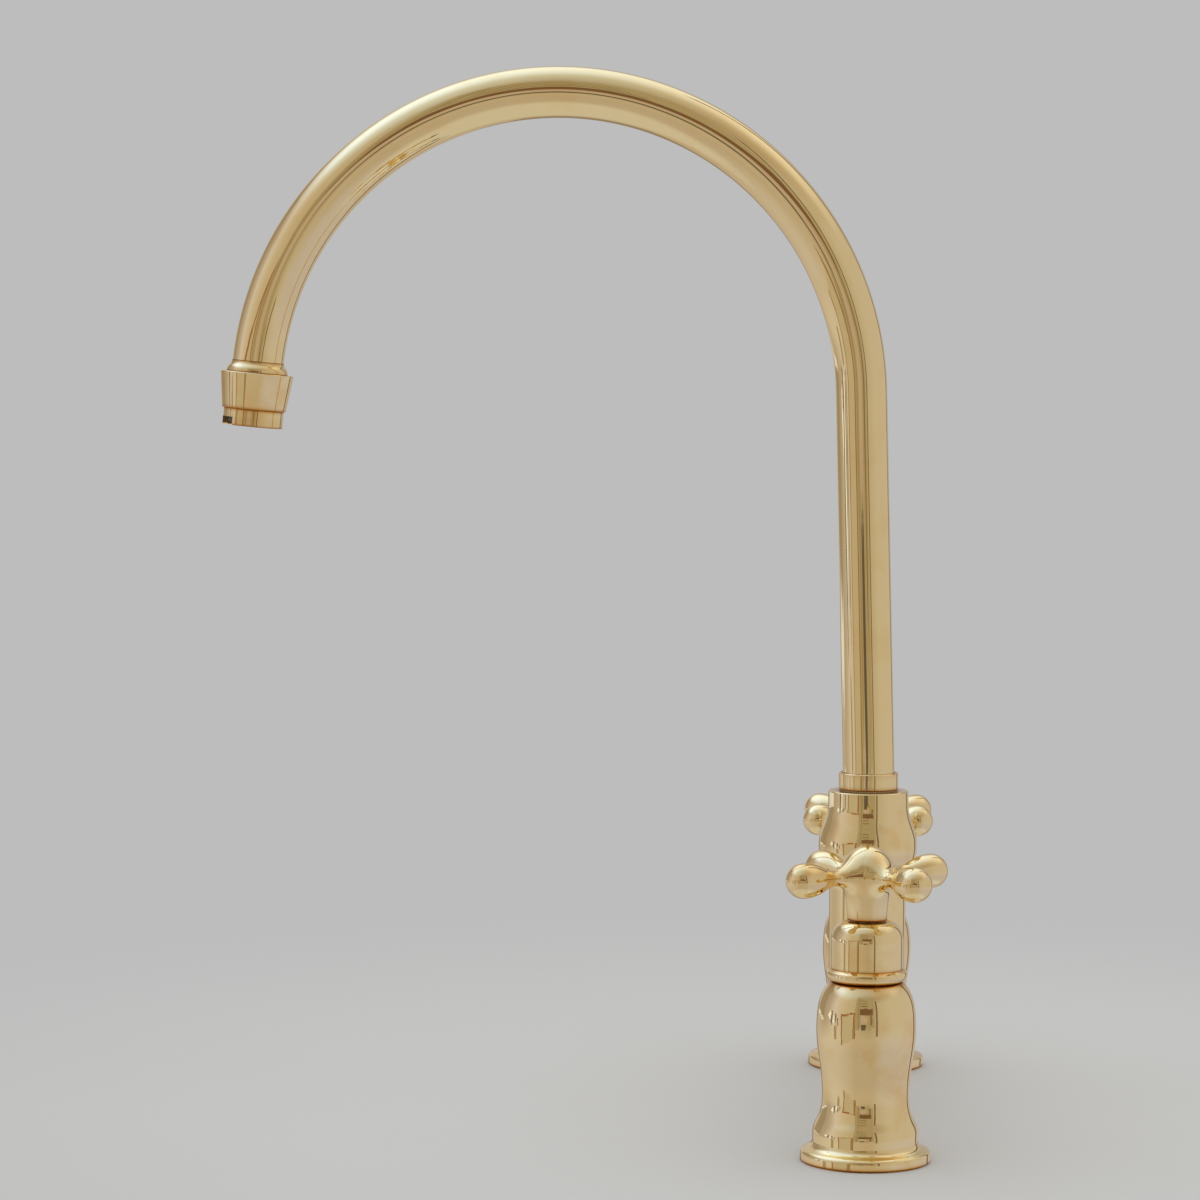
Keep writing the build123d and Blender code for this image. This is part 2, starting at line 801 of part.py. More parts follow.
def spout_path():
    """The tube's centre line: foot, slight bend, leaning riser, great bend and a short straight end."""
    foot_top, riser_foot, riser_top, bend_end = spout_corners()
    foot = Line((0, 0, collar_foot_z), foot_top)
    knee = ThreePointArc(foot_top, turn_point(foot_top, lean_r, 0, spout_lean / 2), riser_foot)
    riser = Line(riser_foot, riser_top)
    bend = ThreePointArc(riser_top, turn_point(riser_top, bend_r, spout_lean, bend_angle / 2), bend_end)
    tail = Line(bend_end, bend_end + bend % 1 * tail_h)
    return Curve() + [foot, knee, riser, bend, tail]


def spout_tube():
    section = Circle(tube_r) - Circle(tube_r - tube_wall)
    return sweep(Plane((0, 0, collar_foot_z)) * section, spout_path())


def outlet_place():
    """The outlet's own frame: its origin at the bend's end, +Z back up into the tube."""
    bend_end = spout_corners()[-1]
    return Pos(*bend_end) * Rot(180 + spout_lean + bend_angle, 0, 0)


def outlet_tip():
    return shoulder_lap - shoulder_h - outlet_h


def washer_top():
    return outlet_tip() + aerator_thread_h + aerator_washer_h


def outlet_collar():
    top = shoulder_lap
    step = top - shoulder_h
    tip = outlet_tip()
    outline = [
        Line((0, top), (shoulder_foot_r, top)),
        Bezier(
            (shoulder_foot_r, top),
            (shoulder_foot_r + outlet_edge, top - shoulder_h / 2),
            (shoulder_r, step + shoulder_h * shoulder_round),
            (shoulder_r, step),
        ),
        Line((shoulder_r, step), (outlet_r - outlet_edge, step)),
        Line((outlet_r - outlet_edge, step), (outlet_r, step - outlet_edge)),
        Line((outlet_r, step - outlet_edge), (outlet_tip_r, tip + outlet_edge)),
        Line((outlet_tip_r, tip + outlet_edge), (outlet_tip_r - outlet_edge, tip)),
        Line((outlet_tip_r - outlet_edge, tip), (0, tip)),
        Line((0, tip), (0, top)),
    ]
    collar = turned(*outline)
    collar -= rod(tube_r + slip_gap, -tail_h, top + cut_past)
    collar -= rod(outlet_throat_r, tip - cut_past, top)
    return collar - rod(aerator_thread_r + thread_gap, tip - cut_past, washer_top())


def aerator_washer():
    return ring(aerator_thread_r - ring_gap, outlet_throat_r, washer_top() - aerator_washer_h, washer_top())


def aerator_housing():
    tip = outlet_tip()
    low = tip - aerator_rim_h
    shell = rod(aerator_r, low, tip) + rod(aerator_thread_r, tip, tip + aerator_thread_h)
    bore = aerator_thread_r - aerator_wall
    shell -= rod(bore, low - cut_past, tip + aerator_thread_h + cut_past)
    notch = Pos(0, 0, low - cut_past) * Box(
        key_notch_w, 3 * aerator_r, key_notch_h + cut_past, align=(Align.CENTER, Align.CENTER, Align.MIN)
    )
    return shell - Rot(0, 0, key_notch_turn) * notch


def aerator_insert():
    """The plastic core: a rim with slots cut across its lower face."""
    low = outlet_tip() - aerator_rim_h + insert_recess
    outer = aerator_thread_r - aerator_wall - slip_gap
    core = rod(outer, low, low + insert_h)
    field = outer - insert_rim_w
    pitch = insert_slot_w + insert_bar_w
    count = int(2 * field / pitch)
    for index in range(count):
        x = (index - (count - 1) / 2) * pitch
        reach = math.sqrt(field ** 2 - (abs(x) + insert_slot_w / 2) ** 2)
        core -= Pos(x, 0, low) * Box(insert_slot_w, 2 * reach, insert_h)
    return core


# ---------------------------------------------------------------------------
# The whole faucet, one named piece at a time
# ---------------------------------------------------------------------------

def side_pieces(first_angle):
    """Every piece of one valve, on the Z axis with the bridge towards -X."""
    return {
        "base_flange": base_flange(),
        "flange_gasket": flange_gasket(),
        "valve_body": valve_body(),
        "inlet_shank": inlet_shank(),
        "rubber_washer": rubber_washer(),
        "brass_washer": brass_washer(),
        "lock_nut": lock_nut(),
        "cartridge_body": cartridge_body(),
        "seat_seal": seat_seal(),
        "fixed_disc": fixed_disc(),
        "moving_disc": moving_disc(),
        "spindle": spindle(),
        "spindle_o_rings": spindle_o_rings(),
        "bonnet": bonnet(),
        "handle": cross_handle(first_angle),
        "handle_screw": handle_set_screw(first_angle),
    }


def centre_pieces():
    """Every piece on the middle line of the faucet."""
    outlet = outlet_place()
    return {
        "mixing_column": mixing_column(),
        "column_plug": column_plug(),
        "retaining_screw": retaining_screw(),
        "glide_washer": glide_washer(),
        "spout_stem": spout_stem(),
        "spout_o_rings": spout_o_rings(),
        "spout_collar": spout_collar(),
        "spout_tube": spout_tube(),
        "outlet_collar": outlet * outlet_collar(),
        "aerator_washer": outlet * aerator_washer(),
        "aerator_housing": outlet * aerator_housing(),
        "aerator_insert": outlet * aerator_insert(),
    }


pieces = {}
for name, shape in side_pieces(right_arm_angle).items():
    pieces["right_" + name] = Pos(side_x, 0, 0) * shape
for name, shape in side_pieces(180 - left_arm_angle).items():
    pieces["left_" + name] = mirrored(Pos(side_x, 0, 0) * shape)
for name, shape in (("bridge_tube", bridge_tube()), ("bridge_unions", bridge_unions())):
    pieces["right_" + name] = shape
    pieces["left_" + name] = mirrored(shape)
pieces.update(centre_pieces())

os.makedirs("parts", exist_ok=True)
for name, shape in pieces.items():
    shape.label = name
    export_step(shape, f"parts/{name}.step")
    print(name, round(shape.volume, 1))
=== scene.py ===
# %% [markdown]
# # A bridge kitchen faucet in polished brass
#
# Two turned valve bodies stand on the deck. A bridge joins them to a middle column, and a tall
# gooseneck turns on that column. Nearly all of it was made on a lathe and then buffed to a mirror,
# so this lesson has two themes: clean turned outlines, and what a mirror finish looks back at.

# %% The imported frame
import math

import bmesh
import bpy
import numpy as np
from mathutils import Matrix, Vector


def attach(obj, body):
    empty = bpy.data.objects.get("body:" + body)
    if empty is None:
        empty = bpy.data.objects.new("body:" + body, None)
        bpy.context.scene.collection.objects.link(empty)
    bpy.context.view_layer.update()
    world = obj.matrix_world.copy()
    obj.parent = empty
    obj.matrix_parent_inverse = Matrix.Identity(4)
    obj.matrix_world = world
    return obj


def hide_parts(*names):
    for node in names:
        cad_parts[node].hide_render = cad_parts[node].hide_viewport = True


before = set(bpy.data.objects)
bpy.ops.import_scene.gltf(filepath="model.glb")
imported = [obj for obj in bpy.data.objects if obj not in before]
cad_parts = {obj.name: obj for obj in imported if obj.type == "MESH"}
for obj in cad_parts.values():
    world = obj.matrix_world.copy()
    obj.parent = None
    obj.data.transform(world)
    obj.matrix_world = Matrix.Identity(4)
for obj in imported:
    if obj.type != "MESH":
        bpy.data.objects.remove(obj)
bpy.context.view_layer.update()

# %% [markdown]
# ## Units and colours
#
# The real sizes are known in millimetres and Blender works in metres, so one constant turns the
# first into the second. Colours are written as they look on a screen, in hex, and one function
# turns them to the linear light that shaders mix.

# %% Units and colours
MM = 0.001
FULL_TURN = 2 * math.pi
BRASS = "#F4DFA6"


def linear(hex_colour):
    """An sRGB hex colour as linear red, green, blue and full alpha."""
    parts = [int(hex_colour[i:i + 2], 16) / 255 for i in (1, 3, 5)]
    bent = [c / 12.92 if c <= 0.04045 else ((c + 0.055) / 1.055) ** 2.4 for c in parts]
    return (*bent, 1.0)


print("brass in linear light", [round(c, 3) for c in linear(BRASS)])

# %% [markdown]
# ## Nodes
#
# Every node is added by one small function that takes its settings and what is plugged into it.
# Numbers in a tree are wrapped in a small class, so that a rule can be written as plain
# arithmetic: each sign adds the node that does the same sum.

# %% Nodes
def add_node(tree, kind, inputs=(), stops=(), **settings):
    """Add a node. Each input is a plain value or another node's output; stops fill a colour ramp."""
    node = tree.nodes.new(kind)
    for name, value in settings.items():
        setattr(node, name, value)
    for key, value in dict(inputs).items():
        value = getattr(value, "socket", value)
        if isinstance(value, bpy.types.NodeSocket):
            tree.links.new(value, node.inputs[key])
        else:
            node.inputs[key].default_value = value
    for index, (place, colour) in enumerate(stops):
        points = node.color_ramp.elements
        point = points[index] if index < 2 else points.new(place)
        point.position = place
        point.color = colour
    return node


class Value:
    """A number in a node tree, for plain arithmetic."""

    def __init__(self, tree, socket):
        self.tree, self.socket = tree, socket

    def step(self, operation, *others):
        """One step of arithmetic, with this number first."""
        inputs = dict(enumerate((self, *others)))
        return Value(self.tree, add_node(self.tree, "ShaderNodeMath", inputs, operation=operation).outputs[0])

    def held(self, low, high):
        """This number kept between two others."""
        return self.step("MAXIMUM", low).step("MINIMUM", high)

    def __add__(self, other):
        return self.step("ADD", other)

    def __sub__(self, other):
        return self.step("SUBTRACT", other)

    def __mul__(self, other):
        return self.step("MULTIPLY", other)

    def __truediv__(self, other):
        return self.step("DIVIDE", other)


print("one function adds every node, whatever its kind")

# %% Small helpers on top of it
def parts_of(tree, vector):
    """The three numbers of a vector."""
    split = add_node(tree, "ShaderNodeSeparateXYZ", {0: vector}).outputs
    return [Value(tree, split[axis]) for axis in "XYZ"]


def vector_of(tree, x=0.0, y=0.0, z=0.0):
    """Three numbers as one vector."""
    return add_node(tree, "ShaderNodeCombineXYZ", {"X": x, "Y": y, "Z": z}).outputs[0]


def mapped(tree, value, low, high, to_low=0.0, to_high=1.0, **settings):
    """A number carried from one range over to another and held inside it."""
    inputs = {0: value, 1: low, 2: high, 3: to_low, 4: to_high}
    return Value(tree, add_node(tree, "ShaderNodeMapRange", inputs, **settings).outputs[0])


def mixed(tree, factor, first, second, **settings):
    """A mix of two colours."""
    inputs = {"Factor": factor, 6: first, 7: second}
    return add_node(tree, "ShaderNodeMix", inputs, data_type="RGBA", **settings).outputs[2]


def mixed_shader(tree, factor, first, second):
    return add_node(tree, "ShaderNodeMixShader", {0: factor, 1: first, 2: second}).outputs[0]


def noise(tree, place, scale, detail, **more):
    return add_node(tree, "ShaderNodeTexNoise", {"Vector": place, "Scale": scale, "Detail": detail, **more}).outputs


def bumped(tree, height, depth_mm, strength=1.0, **more):
    """A normal tilted by a pattern of heights, whose depth is in millimetres."""
    inputs = {"Height": height, "Distance": depth_mm * MM, "Strength": strength, **more}
    return add_node(tree, "ShaderNodeBump", inputs).outputs[0]


def new_material(name):
    """An empty material and its node tree."""
    material = bpy.data.materials.new(name)
    material.use_nodes = True
    material.node_tree.nodes.clear()
    return material, material.node_tree


def new_object(name, data):
    """An object in the scene for a mesh, a lamp or a camera."""
    made = bpy.data.objects.new(name, data)
    bpy.context.scene.collection.objects.link(made)
    return made


print("helpers ready")

# %% [markdown]
# ## The camera
#
# The photograph looks along the bridge from the cold-water side, a little above the handles, with
# a long lens. The camera's place was worked out from measured edges of the turned parts, and its
# aim is given as three turns: yaw towards the spout, pitch down and a very small roll.

# %% The camera
CAMERA_PLACE = (1.51784, -0.00123, 0.29776)
CAMERA_LENS, SENSOR_WIDTH = 111.53, 36.0
CAMERA_YAW, CAMERA_PITCH, CAMERA_ROLL = (math.radians(a) for a in (4.1194, 3.3625, 0.3283))

forward = Vector((
    -math.cos(CAMERA_YAW) * math.cos(CAMERA_PITCH),
    -math.sin(CAMERA_YAW) * math.cos(CAMERA_PITCH),
    -math.sin(CAMERA_PITCH),
))
level_right = forward.cross(Vector((0, 0, 1))).normalized()
level_up = level_right.cross(forward)
right = math.cos(CAMERA_ROLL) * level_right + math.sin(CAMERA_ROLL) * level_up
up = -math.sin(CAMERA_ROLL) * level_right + math.cos(CAMERA_ROLL) * level_up

camera_data = bpy.data.cameras.new("camera")
camera_data.lens = CAMERA_LENS
camera_data.sensor_width = SENSOR_WIDTH
camera = new_object("camera", camera_data)
turn = Matrix((right, up, -forward)).transposed().to_4x4()
camera.matrix_world = Matrix.Translation(CAMERA_PLACE) @ turn
bpy.context.scene.camera = camera
bpy.context.scene.view_settings.view_transform = "Standard"
print("camera at", CAMERA_PLACE)

# %% [markdown]
# ## The room that the brass looks back at
#
# A mirror finish has hardly a look of its own: it shows the room. The photograph was taken in a
# pale room with tall windows on the spout's side, a plain wall opposite, and darker things at the
# camera's end. Here the world is that room, drawn by direction. One ramp runs round the horizon,
# one crosses the floor and one the ceiling, both from the window side to the wall side, and a few
# flat patches stand for windows, openings, posts and shelves. Only glossy and transmission rays
# see it. The camera sees a plain pale backdrop, and diffuse rays meet an even light, so that a
# matt colour renders about as it is written.

# %% Directions in the room
BACKDROP = linear("#BDBDBD")
EVEN_LIGHT = 0.95

world = bpy.data.worlds.new("studio_room")
bpy.context.scene.world = world
world.use_nodes = True
room = world.node_tree
room.nodes.clear()
direction = add_node(room, "ShaderNodeTexCoord").outputs["Generated"]
to_camera, to_wall, to_ceiling = parts_of(room, direction)
azimuth = to_wall.step("ARCTAN2", to_camera).step("DEGREES")
elevation = to_ceiling.step("ARCSINE").step("DEGREES")
print("azimuth 0 is the camera's side, -90 the window side")

# %% The room's ramps
def ramp_over(value, low, high, places):
    """A colour ramp over a value's own units."""
    across = mapped(room, value, low, high)
    stops = [((place - low) / (high - low), (*colour, 1.0)) for place, colour in places]
    return add_node(room, "ShaderNodeValToRGB", {0: across}, stops=stops).outputs[0]


horizon = ramp_over(azimuth, -180, 180, (
    (-180, (0.46, 0.42, 0.40)),    # the wall behind the faucet, in shade
    (-166, (0.60, 0.55, 0.52)),
    (-118, (0.42, 0.37, 0.37)),    # the dim corner before the windows
    (-100, (0.50, 0.45, 0.49)),
    (-82, (0.68, 0.65, 0.78)),     # cool daylight round the windows
    (-49, (0.58, 0.52, 0.47)),     # warm wall past them
    (-30, (0.55, 0.48, 0.43)),
    (4, (0.42, 0.36, 0.30)),       # the dark end of the room, behind the camera
    (22, (0.53, 0.47, 0.42)),
    (60, (0.60, 0.56, 0.56)),      # the plain wall opposite the windows
    (132, (0.60, 0.56, 0.57)),
    (164, (0.46, 0.42, 0.40)),
))
floor_side = ramp_over(to_wall, -1, 1, (
    (-1, (0.68, 0.65, 0.70)),      # daylit floor under the windows
    (-0.45, (0.56, 0.49, 0.45)),
    (0.3, (0.55, 0.485, 0.44)),    # bare boards
    (0.6, (0.59, 0.56, 0.62)),
    (1, (0.61, 0.59, 0.72)),
))
floor_depth = ramp_over(elevation, -90, 0, (
    (-56, (1.16, 1.28, 1.48)),     # the pale table right under the faucet
    (-42, (0.95, 0.96, 1.02)),
    (-22, (0.93, 0.93, 0.97)),
    (-12, (1.0, 1.0, 1.0)),
))
ceiling_depth = ramp_over(to_camera, -1, 1, (
    (-1, (1.00, 1.12, 1.36)),
    (-0.47, (1.05, 1.18, 1.44)),   # the bright ceiling over the faucet
    (-0.1, (0.87, 0.98, 1.34)),
    (0.26, (0.63, 0.66, 0.70)),    # and darker towards the camera's end
    (0.53, (0.54, 0.53, 0.55)),
    (0.73, (0.41, 0.37, 0.34)),
    (0.85, (0.40, 0.33, 0.26)),
))
ceiling_side = ramp_over(to_wall, -1, 1, (
    (-0.75, (1.19, 1.31, 1.55)),   # cool on the windows' side
    (0, (1.0, 1.0, 1.0)),
    (0.45, (0.92, 0.76, 0.58)),    # warm on the wall's side
    (1, (0.86, 0.70, 0.52)),
))
floor_colour = mixed(room, 1.0, floor_side, floor_depth, blend_type="MULTIPLY")
ceiling_colour = mixed(room, 1.0, ceiling_depth, ceiling_side, blend_type="MULTIPLY")
print("ramps ready")

# %% Patches and their edges
FLOOR_TO, FLOOR_FROM = -15.0, -3.0
CEILING_FROM, CEILING_TO = 26.0, 48.0

uneven = parts_of(room, noise(room, direction, 7.0, 4.0, Roughness=0.7)["Color"])


def wavered(value, part, degrees):
    """A direction shifted a little by noise, so that a patch gets an irregular edge."""
    return value + uneven[part].step("MULTIPLY_ADD", 4 * degrees, -2 * degrees)


def patched(under, sideways, upwards, colour, waver, lean=0.0):
    """Lay a flat patch over the room, between two azimuths and two elevations in degrees."""
    across, upright = azimuth, elevation
    if lean:
        upright = azimuth.step("MULTIPLY_ADD", -lean, elevation)
    across, upright = wavered(across, 0, waver), wavered(upright, 1, waver)
    spans = [
        value.step("COMPARE", (low + high) / 2, (high - low) / 2)
        for value, (low, high) in ((across, sideways), (upright, upwards))
    ]
    return mixed(room, spans[0] * spans[1], under, (*colour, 1.0))


def faded(under, over, low, high):
    """Change from one colour to another as the elevation goes from low to high."""
    return mixed(room, mapped(room, elevation, low, high, interpolation_type="SMOOTHSTEP"), under, over)


print("floor fades out by", FLOOR_FROM, "degrees, ceiling in from", CEILING_FROM)

# %% The room's patches
OLIVE, FRAME, DARK, BROWN = (0.41, 0.35, 0.26), (0.34, 0.16, 0.07), (0.13, 0.11, 0.10), (0.19, 0.11, 0.07)
DAYLIGHT, ON_SILL, POST = (0.98, 1.04, 1.24), (0.20, 0.18, 0.18), (0.20, 0.15, 0.11)
FRAME_LEAN = 0.18
SHELVES = (-15, 3)

# Each patch: from and to azimuth, from and to elevation, colour, waver of its edge, lean.
ROOM_PATCHES = (
    ((-148, -118), (-4.5, 30), (0.36, 0.31, 0.27), 2.0),      # dark opening beside the windows
    ((-148, -118), (-6, -4.5), (0.80, 0.84, 1.00), 1.0),      # pale sill under it
    ((-98, -91), (-2, 3), DAYLIGHT, 4.0),
    ((-85, -81), (-5, -1), DAYLIGHT, 4.0),
    ((-90, -86), (-5, 5), ON_SILL, 4.0),
    ((-79, -74), (-4, 3), ON_SILL, 4.0),
    ((-72, -69), (-6, 0), DARK, 4.0),
    ((-61, -26), (-7, 15.5), FRAME, 1.6, FRAME_LEAN),         # a wooden frame by the window wall
    ((-58.5, -30.5), (-7, 13.0), (0.53, 0.48, 0.43), 1.6, FRAME_LEAN),
    ((-27, 20), (-6, 46), OLIVE, 1.5),                        # the darker end of the room
    ((-20, -17), (-6, 40), (0.32, 0.26, 0.20), 2.5),
    ((-12, -1), (-6.5, -2.5), DARK, 1.0),                     # a stand and what is on it
    ((-13, 2), (-2.5, 6), (0.52, 0.43, 0.42), 2.0),
    ((-15, 15), (8, 19), BROWN, 1.5),
    ((9, 13), (-3, 9), (0.24, 0.17, 0.11), 1.5),
    (SHELVES, (23, 25), (0.24, 0.18, 0.12), 1.0),
    (SHELVES, (29, 31), (0.26, 0.20, 0.14), 1.0),
    (SHELVES, (36, 38), (0.28, 0.23, 0.16), 1.0),
    ((22.5, 26.5), (-10, 36), POST, 0.5),
    ((-32, -28), (-13, -6), (0.32, 0.26, 0.18), 0.5),         # joints in the boards of the floor
    ((-80, -73), (-13, -6), (0.40, 0.33, 0.25), 1.0),
    ((140, 147), (-60, 60), POST, 1.0),                       # edge of the wall
    ((-180, -156), (-40, -4), (0.32, 0.27, 0.22), 2.0),       # dark behind, low
)
room_colour = faded(horizon, ceiling_colour, CEILING_FROM, CEILING_TO)
room_colour = faded(floor_colour, room_colour, FLOOR_TO, FLOOR_FROM)
for patch in ROOM_PATCHES:
    room_colour = patched(room_colour, *patch)
print("patches", len(ROOM_PATCHES))

# %% Who sees the room
def glow(colour, strength):
    return add_node(room, "ShaderNodeBackground", {0: colour, 1: strength}).outputs[0]


rays = add_node(room, "ShaderNodeLightPath").outputs
mirrored = Value(room, rays["Is Glossy Ray"]).step("MAXIMUM", rays["Is Transmission Ray"])
matt_or_brass = mixed_shader(room, mirrored, glow((1, 1, 1, 1), EVEN_LIGHT), glow(room_colour, 1.0))
all_rays = mixed_shader(room, rays["Is Camera Ray"], matt_or_brass, glow(BACKDROP, 1.0))
add_node(room, "ShaderNodeOutputWorld", {0: all_rays})
print("world ready")

# %% [markdown]
# ## The floor
#
# The deck is a plain pale board. It is a large flat plate, and away from the faucet its material
# fades to the backdrop's own colour, which only camera rays see, so the two meet without a seam and
# what is under the deck stays hidden. Its middle catches the soft shadow. Glossy rays pass through
# it and meet the room's own floor colours instead. One large soft lamp overhead gives the shadow.

# %% The floor
FLOOR_HALF = 6.0
FLOOR_FADE_FROM, FLOOR_FADE_TO = 0.12, 0.6
BOARD_CLOUDS_PER_METRE = 3.0

# A board under matt white paint, rolled on: no shine, and a change of tone that is barely seen.
floor_paint, tree = new_material("matt_white_board")
place = add_node(tree, "ShaderNodeTexCoord").outputs["Object"]
away = add_node(tree, "ShaderNodeVectorMath", {0: place}, operation="LENGTH").outputs["Value"]
fade = mapped(tree, away, FLOOR_FADE_FROM, FLOOR_FADE_TO, interpolation_type="SMOOTHSTEP")
speckle = noise(tree, place, BOARD_CLOUDS_PER_METRE, 3.0)["Fac"]
board = mixed(tree, speckle, linear("#C6C6C3"), linear("#CBCBC9"))
paint = add_node(
    tree, "ShaderNodeBsdfPrincipled", {"Base Color": board, "Roughness": 0.75, "Specular IOR Level": 0.2},
).outputs[0]
rays = add_node(tree, "ShaderNodeLightPath").outputs
hidden = fade.step("MAXIMUM", rays["Is Glossy Ray"])
gone = add_node(tree, "ShaderNodeBsdfTransparent").outputs[0]
as_backdrop = add_node(tree, "ShaderNodeEmission", {"Color": BACKDROP, "Strength": 1.0}).outputs[0]
far = mixed_shader(tree, rays["Is Camera Ray"], gone, as_backdrop)
add_node(tree, "ShaderNodeOutputMaterial", {0: mixed_shader(tree, hidden, paint, far)})

floor_mesh = bpy.data.meshes.new("floor")
corners = [(x * FLOOR_HALF, y * FLOOR_HALF, 0) for x, y in ((-1, -1), (1, -1), (1, 1), (-1, 1))]
floor_mesh.from_pydata(corners, [], [(0, 1, 2, 3)])
floor_mesh.materials.append(floor_paint)
floor = new_object("floor", floor_mesh)
print("floor ready")

# %% The lamp
LAMP_PLACE = Vector((1.3, -0.1, 1.9))
LAMP_SIZE, LAMP_ENERGY = 1.6, 2.0

lamp_data = bpy.data.lights.new("soft_lamp", "AREA")
lamp_data.shape = "DISK"
lamp_data.size = LAMP_SIZE
lamp_data.energy = LAMP_ENERGY
lamp = new_object("soft_lamp", lamp_data)
lamp.location = LAMP_PLACE
lamp.rotation_euler = (-LAMP_PLACE).to_track_quat("-Z", "Y").to_euler()
lamp.visible_glossy = False
print("lamp at", tuple(LAMP_PLACE))

# %% [markdown]
# ## Polished brass
#
# The visible parts are cast or turned brass, buffed by hand on a cloth wheel and left without
# lacquer. Brass reflects nearly all red, most green and little blue, which is its colour. The
# wheel leaves the surface very slightly wavy every few millimetres, and the bare metal is lightly
# tarnished: faint warm clouds on the open faces. The seams and joints are orange to brown, partly
# from oxide that a cloth doesn't reach and partly as painted shade, down to a nearly black painted
# contact shadow where a flange meets the deck. The seams are marked on each mesh by an attribute
# named `tarnish_and_shade`, and the handles' balls, which were buffed while they spun, by one named
# `buffed` that grows along the arm.

# %% Polished brass
WAVE_MM, WAVE_DEPTH_MM = 7.0, 0.006
CLOUD_MM = 22.0
GRIT_MM, GRIT_DULLNESS = 0.6, 0.03
BUFF_MM, BUFF_DEPTH_MM = 0.9, 0.0022    # real rings are nearer to 0.1 mm apart; drawn coarser to show
SEAM_DULLNESS = 0.25


def brass_material(name, cloud_strength, roughness):
    """Buffed brass: a metal with warm clouds, seams darkened by tarnish and painted shade, slow waves and fine
    wiping marks.
    """
    material, tree = new_material(name)
    place = add_node(tree, "ShaderNodeTexCoord").outputs["Object"]
    seam, ball = (
        Value(tree, add_node(tree, "ShaderNodeAttribute", attribute_name=marks).outputs["Fac"])
        for marks in ("tarnish_and_shade", "buffed")
    )
    cloud = noise(tree, place, 1 / (CLOUD_MM * MM), 4.0, Roughness=0.6, Distortion=0.6)["Fac"]
    colour = mixed(
        tree, mapped(tree, cloud, 0.5, 0.68, to_high=cloud_strength), linear(BRASS), linear("#ECC67C"),
    )
    # Seams go orange, as tarnish and light painted shade, then nearly black where the mark is strongest, as painted
    # shade and contact shadow.
    colour = mixed(tree, mapped(tree, seam, 0.0, 0.5), colour, linear("#C98A35"))
    colour = mixed(tree, mapped(tree, seam, 0.5, 0.95), colour, linear("#2A1B0C"))
    wipe = noise(tree, place, 1 / (GRIT_MM * MM), 2.0)["Fac"]
    dulled = mapped(tree, wipe, 0.3, 0.8, roughness, roughness + GRIT_DULLNESS)
    wave = noise(tree, place, 1 / (WAVE_MM * MM), 1.0)["Fac"]
    rings = (ball * (FULL_TURN / BUFF_MM)).step("SINE") * mapped(tree, ball, 0.0, 4.0)
    normal = bumped(tree, rings, BUFF_DEPTH_MM, Normal=bumped(tree, wave, WAVE_DEPTH_MM))
    shader = add_node(tree, "ShaderNodeBsdfPrincipled", {
        "Base Color": colour, "Metallic": 1.0,
        "Roughness": seam.step("MULTIPLY_ADD", SEAM_DULLNESS, dulled), "Normal": normal,
    })
    add_node(tree, "ShaderNodeOutputMaterial", {0: shader.outputs[0]})
    return material


# Cast and turned brass, buffed by hand: a mirror with warm clouds and the wheel's slow waves.
polished_brass = brass_material("buffed_brass", 0.6, 0.025)
# A tube drawn through a die and then buffed: cleaner and evener than a casting.
drawn_brass = brass_material("buffed_drawn_brass", 0.22, 0.02)
print(polished_brass.name, drawn_brass.name)

# %% [markdown]
# ## Turned outlines
#
# A turned part is one half outline spun round an axis. The outline is written as corner points,
# each as radius and height in millimetres, with curves between some of them. A real edge is never
# perfectly sharp, and a mirror shows it, so every corner is eased by a small round, and long runs
# are divided so that reflections and tarnish change smoothly along them.

# %% Outlines
EASE_MM = 0.22
SPACING_MM = 0.8
CORNER_TURN = math.radians(14)
EASE_SHARE, EASE_POINTS = 0.45, 5    # the most of a line that an ease takes up, and the points along it
END_GAP_MM, LONG_RUN_MM = 0.6 * EASE_MM, 3 * EASE_MM
SAME_MM = 1e-4


def bezier(a, b, c, d, count=28):
    a, b, c, d = (np.array(p, float) for p in (a, b, c, d))
    steps = np.linspace(0, 1, count)
    return [
        (1 - t) ** 3 * a + 3 * (1 - t) ** 2 * t * b + 3 * (1 - t) * t * t * c + t ** 3 * d for t in steps
    ]


def quarter(centre, radius, start_angle, end_angle, count=20):
    """Part of a circle in the outline's plane, angles in degrees from the radius direction."""
    angles = np.radians(np.linspace(start_angle, end_angle, count))
    return [np.array((centre[0] + radius * math.cos(a), centre[1] + radius * math.sin(a))) for a in angles]


def eased(points, closed, ease):
    """Round each sharp corner."""
    count = len(points)
    made = []
    for index, point in enumerate(points):
        if not closed and index in (0, count - 1):
            made.append(point)
            continue
        back, ahead = points[index - 1] - point, points[(index + 1) % count] - point
        back_length, ahead_length = np.linalg.norm(back), np.linalg.norm(ahead)
        bend = math.pi - math.acos(np.clip(back @ ahead / (back_length * ahead_length), -1, 1))
        if bend < CORNER_TURN:
            made.append(point)
            continue
        reach = min(ease * math.tan(bend / 2), EASE_SHARE * back_length, EASE_SHARE * ahead_length)
        first, last = point + back / back_length * reach, point + ahead / ahead_length * reach
        for t in np.linspace(0, 1, EASE_POINTS):
            made.append((1 - t) ** 2 * first + 2 * t * (1 - t) * point + t * t * last)
    return made


def divided(points, closed):
    """Divide the long runs, with a point close to each end."""
    runs = len(points) if closed else len(points) - 1
    made = []
    for index in range(runs):
        start, end = points[index], points[(index + 1) % len(points)]
        length = np.linalg.norm(end - start)
        made.append(start)
        if length > LONG_RUN_MM:
            margin = END_GAP_MM / length
            steps = max(1, int(length / SPACING_MM))
            for t in [margin, *np.linspace(0, 1, steps + 1)[1:-1], 1 - margin]:
                made.append(start + (end - start) * t)
    if not closed:
        made.append(points[-1])
    return made


